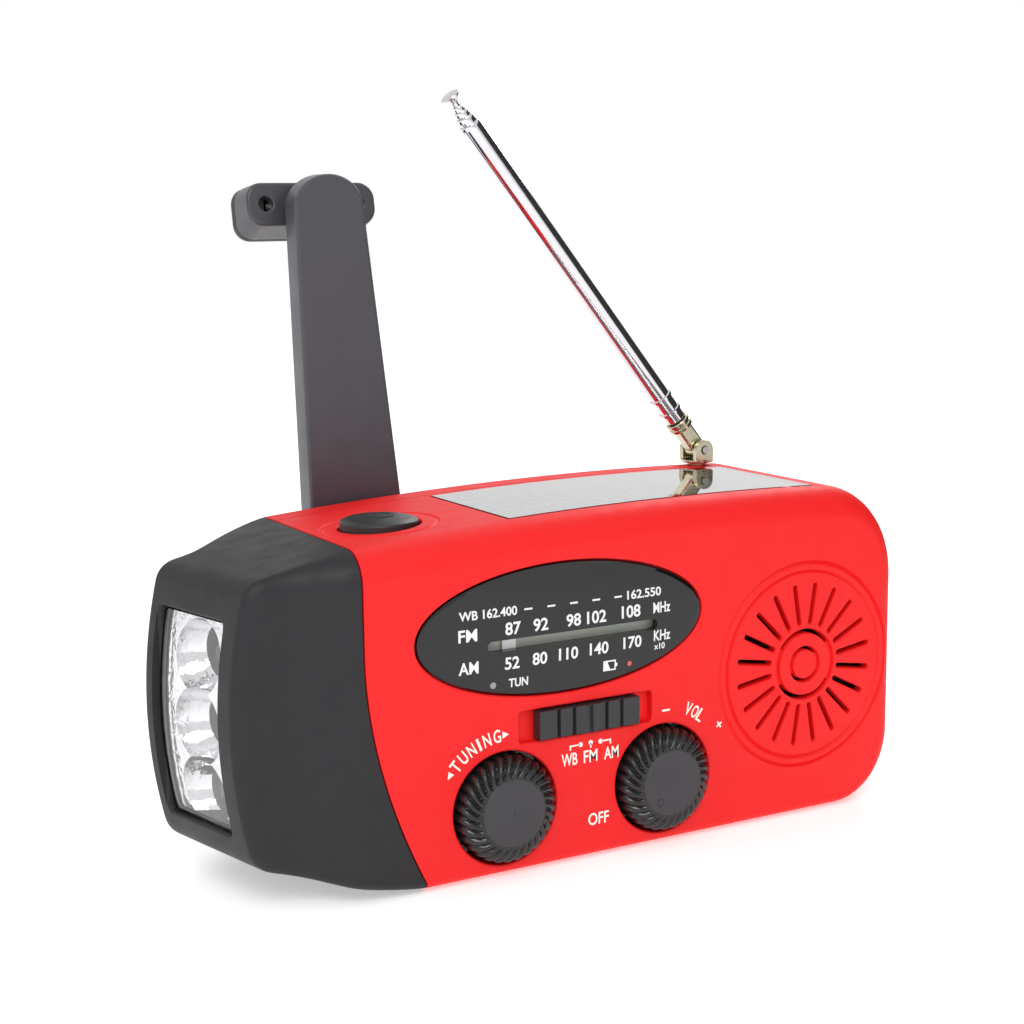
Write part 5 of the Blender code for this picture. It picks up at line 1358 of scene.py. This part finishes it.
# %% Screws
HEAD_RADIUS, HEAD_Y, HEAD_TOP_Y, HEAD_RIM = 2.5, 17.3, 19.2, 0.9
SHANK_RADIUS, SHANK_START, CROSS_HALF, CROSS_REACH = 1.1, 4.0, 0.25, 1.5


def case_screw():
    profile = [(SHANK_RADIUS, SHANK_START), (SHANK_RADIUS, HEAD_Y), (HEAD_RADIUS, HEAD_Y),
               (HEAD_RADIUS, HEAD_Y + HEAD_RIM)]
    profile += [(HEAD_RADIUS * math.cos(a), HEAD_Y + HEAD_RIM + (HEAD_TOP_Y - HEAD_Y - HEAD_RIM) * math.sin(a))
                for a in spaced(0.0, math.radians(88), 6)[1:]]
    screw = turned("screw", (0.0, 0.0), profile, 40, "Y")
    low, high = HEAD_TOP_Y - 1.0, HEAD_TOP_Y + 1.0
    cut(screw, box("cutter_cross_a", (-CROSS_REACH, low, -CROSS_HALF), (CROSS_REACH, high, CROSS_HALF)),
        box("cutter_cross_b", (-CROSS_HALF, low, -CROSS_REACH), (CROSS_HALF, high, CROSS_REACH)))
    return screw


screws = repeated("case_screws", case_screw(), [(spot.x, 0.0, spot.z) for spot in SCREW_PLACES], DARK_STEEL,
                  first=0.3, step=0.8)
finish_piece(screws, "case", "steel", *[f"case_screw_{k}" for k in range(1, 5)])

# %% Flap and nubs
flap_low, flap_high = corners("port_cover")
FLAP_IN_X, FLAP_OUT_X, LIP_OUT_X, FLAP_CORNER, LIP_CORNER = 64.5, 65.4, 65.75, 1.0, 0.45
PLUG_HALF, PLUG_LOW, PLUG_HIGH, LIP_LOW, LIP_HIGH = 5.4, 30.3, 33.5, 24.0, 32.0
flap_outline = rounded((flap_low.y, flap_low.z), (flap_high.y, flap_high.z), FLAP_CORNER)
flap = prism("port_flap", flap_outline, FLAP_IN_X, FLAP_OUT_X, "X")
soften(flap, 0.18, 2, 50.0)
plug = box("plug", (64.0, PORTS_Y - PLUG_HALF, PLUG_LOW), (65.0, PORTS_Y + PLUG_HALF, PLUG_HIGH))
cut(flap, plug, operation="UNION")
lip_outline = rounded((flap_low.y + 0.5, LIP_LOW), (flap_low.y + 1.5, LIP_HIGH), LIP_CORNER)
lip = prism("lip", lip_outline, 65.2, LIP_OUT_X, "X")
cut(flap, lip, operation="UNION")
finish_piece(flap, "port_cover", "rubber", "port_cover", materials=[RUBBER])
NUB_PLACES = ((-27.0, -18.6), (-27.0, 18.0), (48.0, 18.0))
NUB_BOX = (-1.1, -0.7, -0.6), (1.1, 0.7, 0.4)
nub = box("nub", *NUB_BOX)
soften(nub, 0.2, 2)
finish_piece(repeated("case_nubs", nub, [(x, y, 0.0) for x, y in NUB_PLACES], RED), "case", "red_case")

# %% [markdown]
# ## Parts that stay as they are
# Boards, sockets, gears, the cell and the speaker already have their real shape. They only need their
# finish, which is set on the frame's own objects.

# %% Paint the frame's parts
INSIDE = {
    BOARD_GREEN: ("led_board", "main_board", "port_board"),
    WHITE: ("tuning_capacitor", "drive_gear", "idler_gear"),
    STEEL: ("volume_potentiometer", "band_switch_body", "usb_port", "charging_port", "speaker_magnet",
            "generator", "gearbox_plate", "grip_pin", "antenna_pin"),
    DARK_STEEL: ("speaker_frame",),
    BRASS: ("generator_pinion",),
    WRAP_BLUE: ("battery_cell",),
    FERRITE: ("ferrite_rod",),
    COPPER: ("ferrite_coil",),
    PAPER: ("speaker_cone",),
    BUTTON_RUBBER: ("button_switch",),
}
for material, node_names in INSIDE.items():
    for node_name in node_names:
        mesh = frame["nodes"][node_name].data
        mesh.materials.clear()
        mesh.materials.append(material)
        print(node_name, "in", material.name)

# %% [markdown]
# ## Camera, floor and light
# The camera stands to the left of the front and a little above it. The studio is a pale floor with a
# bright even surround, so that shadows are faint and the panel and chrome have something white to mirror.
# A dark card stands to the right, out of this camera's view, and gives the chrome its dark streak.

# %% Camera
CAMERA_PLACE = Vector((-154.94, -272.91, 108.74))
YAW, PITCH, ROLL, LENS = math.radians(29.03), math.radians(9.45), math.radians(-0.7), 63.28
SENSOR_WIDTH, NEAREST_SEEN = 36.0, 0.01
forward = Vector((math.sin(YAW) * math.cos(PITCH), math.cos(YAW) * math.cos(PITCH), -math.sin(PITCH)))
level = Vector((math.cos(YAW), -math.sin(YAW), 0.0))
upward = level.cross(forward)
right = level * math.cos(ROLL) + upward * math.sin(ROLL)
above = upward * math.cos(ROLL) - level * math.sin(ROLL)
camera = linked("camera", bpy.data.cameras.new("camera"))
camera.data.lens = LENS
camera.data.sensor_width = SENSOR_WIDTH
camera.data.clip_start = NEAREST_SEEN
camera.matrix_world = Matrix((
    (right.x, above.x, -forward.x, CAMERA_PLACE.x * MM),
    (right.y, above.y, -forward.y, CAMERA_PLACE.y * MM),
    (right.z, above.z, -forward.z, CAMERA_PLACE.z * MM),
    (0.0, 0.0, 0.0, 1.0),
))
bpy.context.scene.camera = camera

# %% Floor, surround and lights
FLOOR_Z, FLOOR_HALF, FLOOR_GLOW, SKY_LIGHT = -0.6, 3000.0, 0.4, 0.86
CARD_X, CARD_NEAR_Y, CARD_FAR_Y, CARD_LOW_Z, CARD_HIGH_Z = 450.0, -600.0, 250.0, -20.0, 500.0
WHITE_LIGHT = (1.0, 1.0, 1.0, 1.0)


def stage_sheet(name, points, material):
    sheet = make(name, points, [(0, 1, 2, 3)])
    sheet.data.materials.append(material)


pale = finish("floor_white", grey(0.9), 0.9, grain=4.0, depth=0.02, drift=0.005)
glow = pale.node_tree.nodes["Principled BSDF"].inputs
glow["Emission Color"].default_value = WHITE_LIGHT
glow["Emission Strength"].default_value = FLOOR_GLOW
stage_sheet("floor", [(-FLOOR_HALF, -FLOOR_HALF, FLOOR_Z), (FLOOR_HALF, -FLOOR_HALF, FLOOR_Z),
                      (FLOOR_HALF, FLOOR_HALF, FLOOR_Z), (-FLOOR_HALF, FLOOR_HALF, FLOOR_Z)], pale)
stage_sheet("dark_card", [(CARD_X, CARD_NEAR_Y, CARD_LOW_Z), (CARD_X, CARD_FAR_Y, CARD_LOW_Z),
                          (CARD_X, CARD_FAR_Y, CARD_HIGH_Z), (CARD_X, CARD_NEAR_Y, CARD_HIGH_Z)],
            finish("card_black", grey(0.02), 0.9, grain=4.0))
world = bpy.data.worlds.new("studio")
world.use_nodes = True
sky = world.node_tree.nodes["Background"].inputs
sky["Color"].default_value = WHITE_LIGHT
path = world.node_tree.nodes.new("ShaderNodeLightPath")
seen = add_node(world.node_tree, "ShaderNodeMapRange",
                {"To Min": SKY_LIGHT, "Value": path.outputs["Is Camera Ray"]})
world.node_tree.links.new(seen.outputs["Result"], sky["Strength"])
bpy.context.scene.world = world
bpy.context.scene.view_settings.view_transform = "Standard"


def soft_light(name, place_at, aim, size, power):
    light = bpy.data.lights.new(name, "AREA")
    light.shape = "DISK"
    light.size = size * MM
    light.energy = power
    lamp = linked(name, light)
    lamp.location = Vector(place_at) * MM
    lamp.rotation_euler = (Vector(aim) - Vector(place_at)).to_track_quat("-Z", "Y").to_euler()


KEY_POWER, RIM_POWER, KEY_SIZE, RIM_SIZE = 3.0, 1.6, 500.0, 350.0
soft_light("key", (-350.0, -650.0, 700.0), (0.0, 0.0, 40.0), KEY_SIZE, KEY_POWER)
soft_light("rim", (500.0, 350.0, 450.0), (40.0, 0.0, 40.0), RIM_SIZE, RIM_POWER)
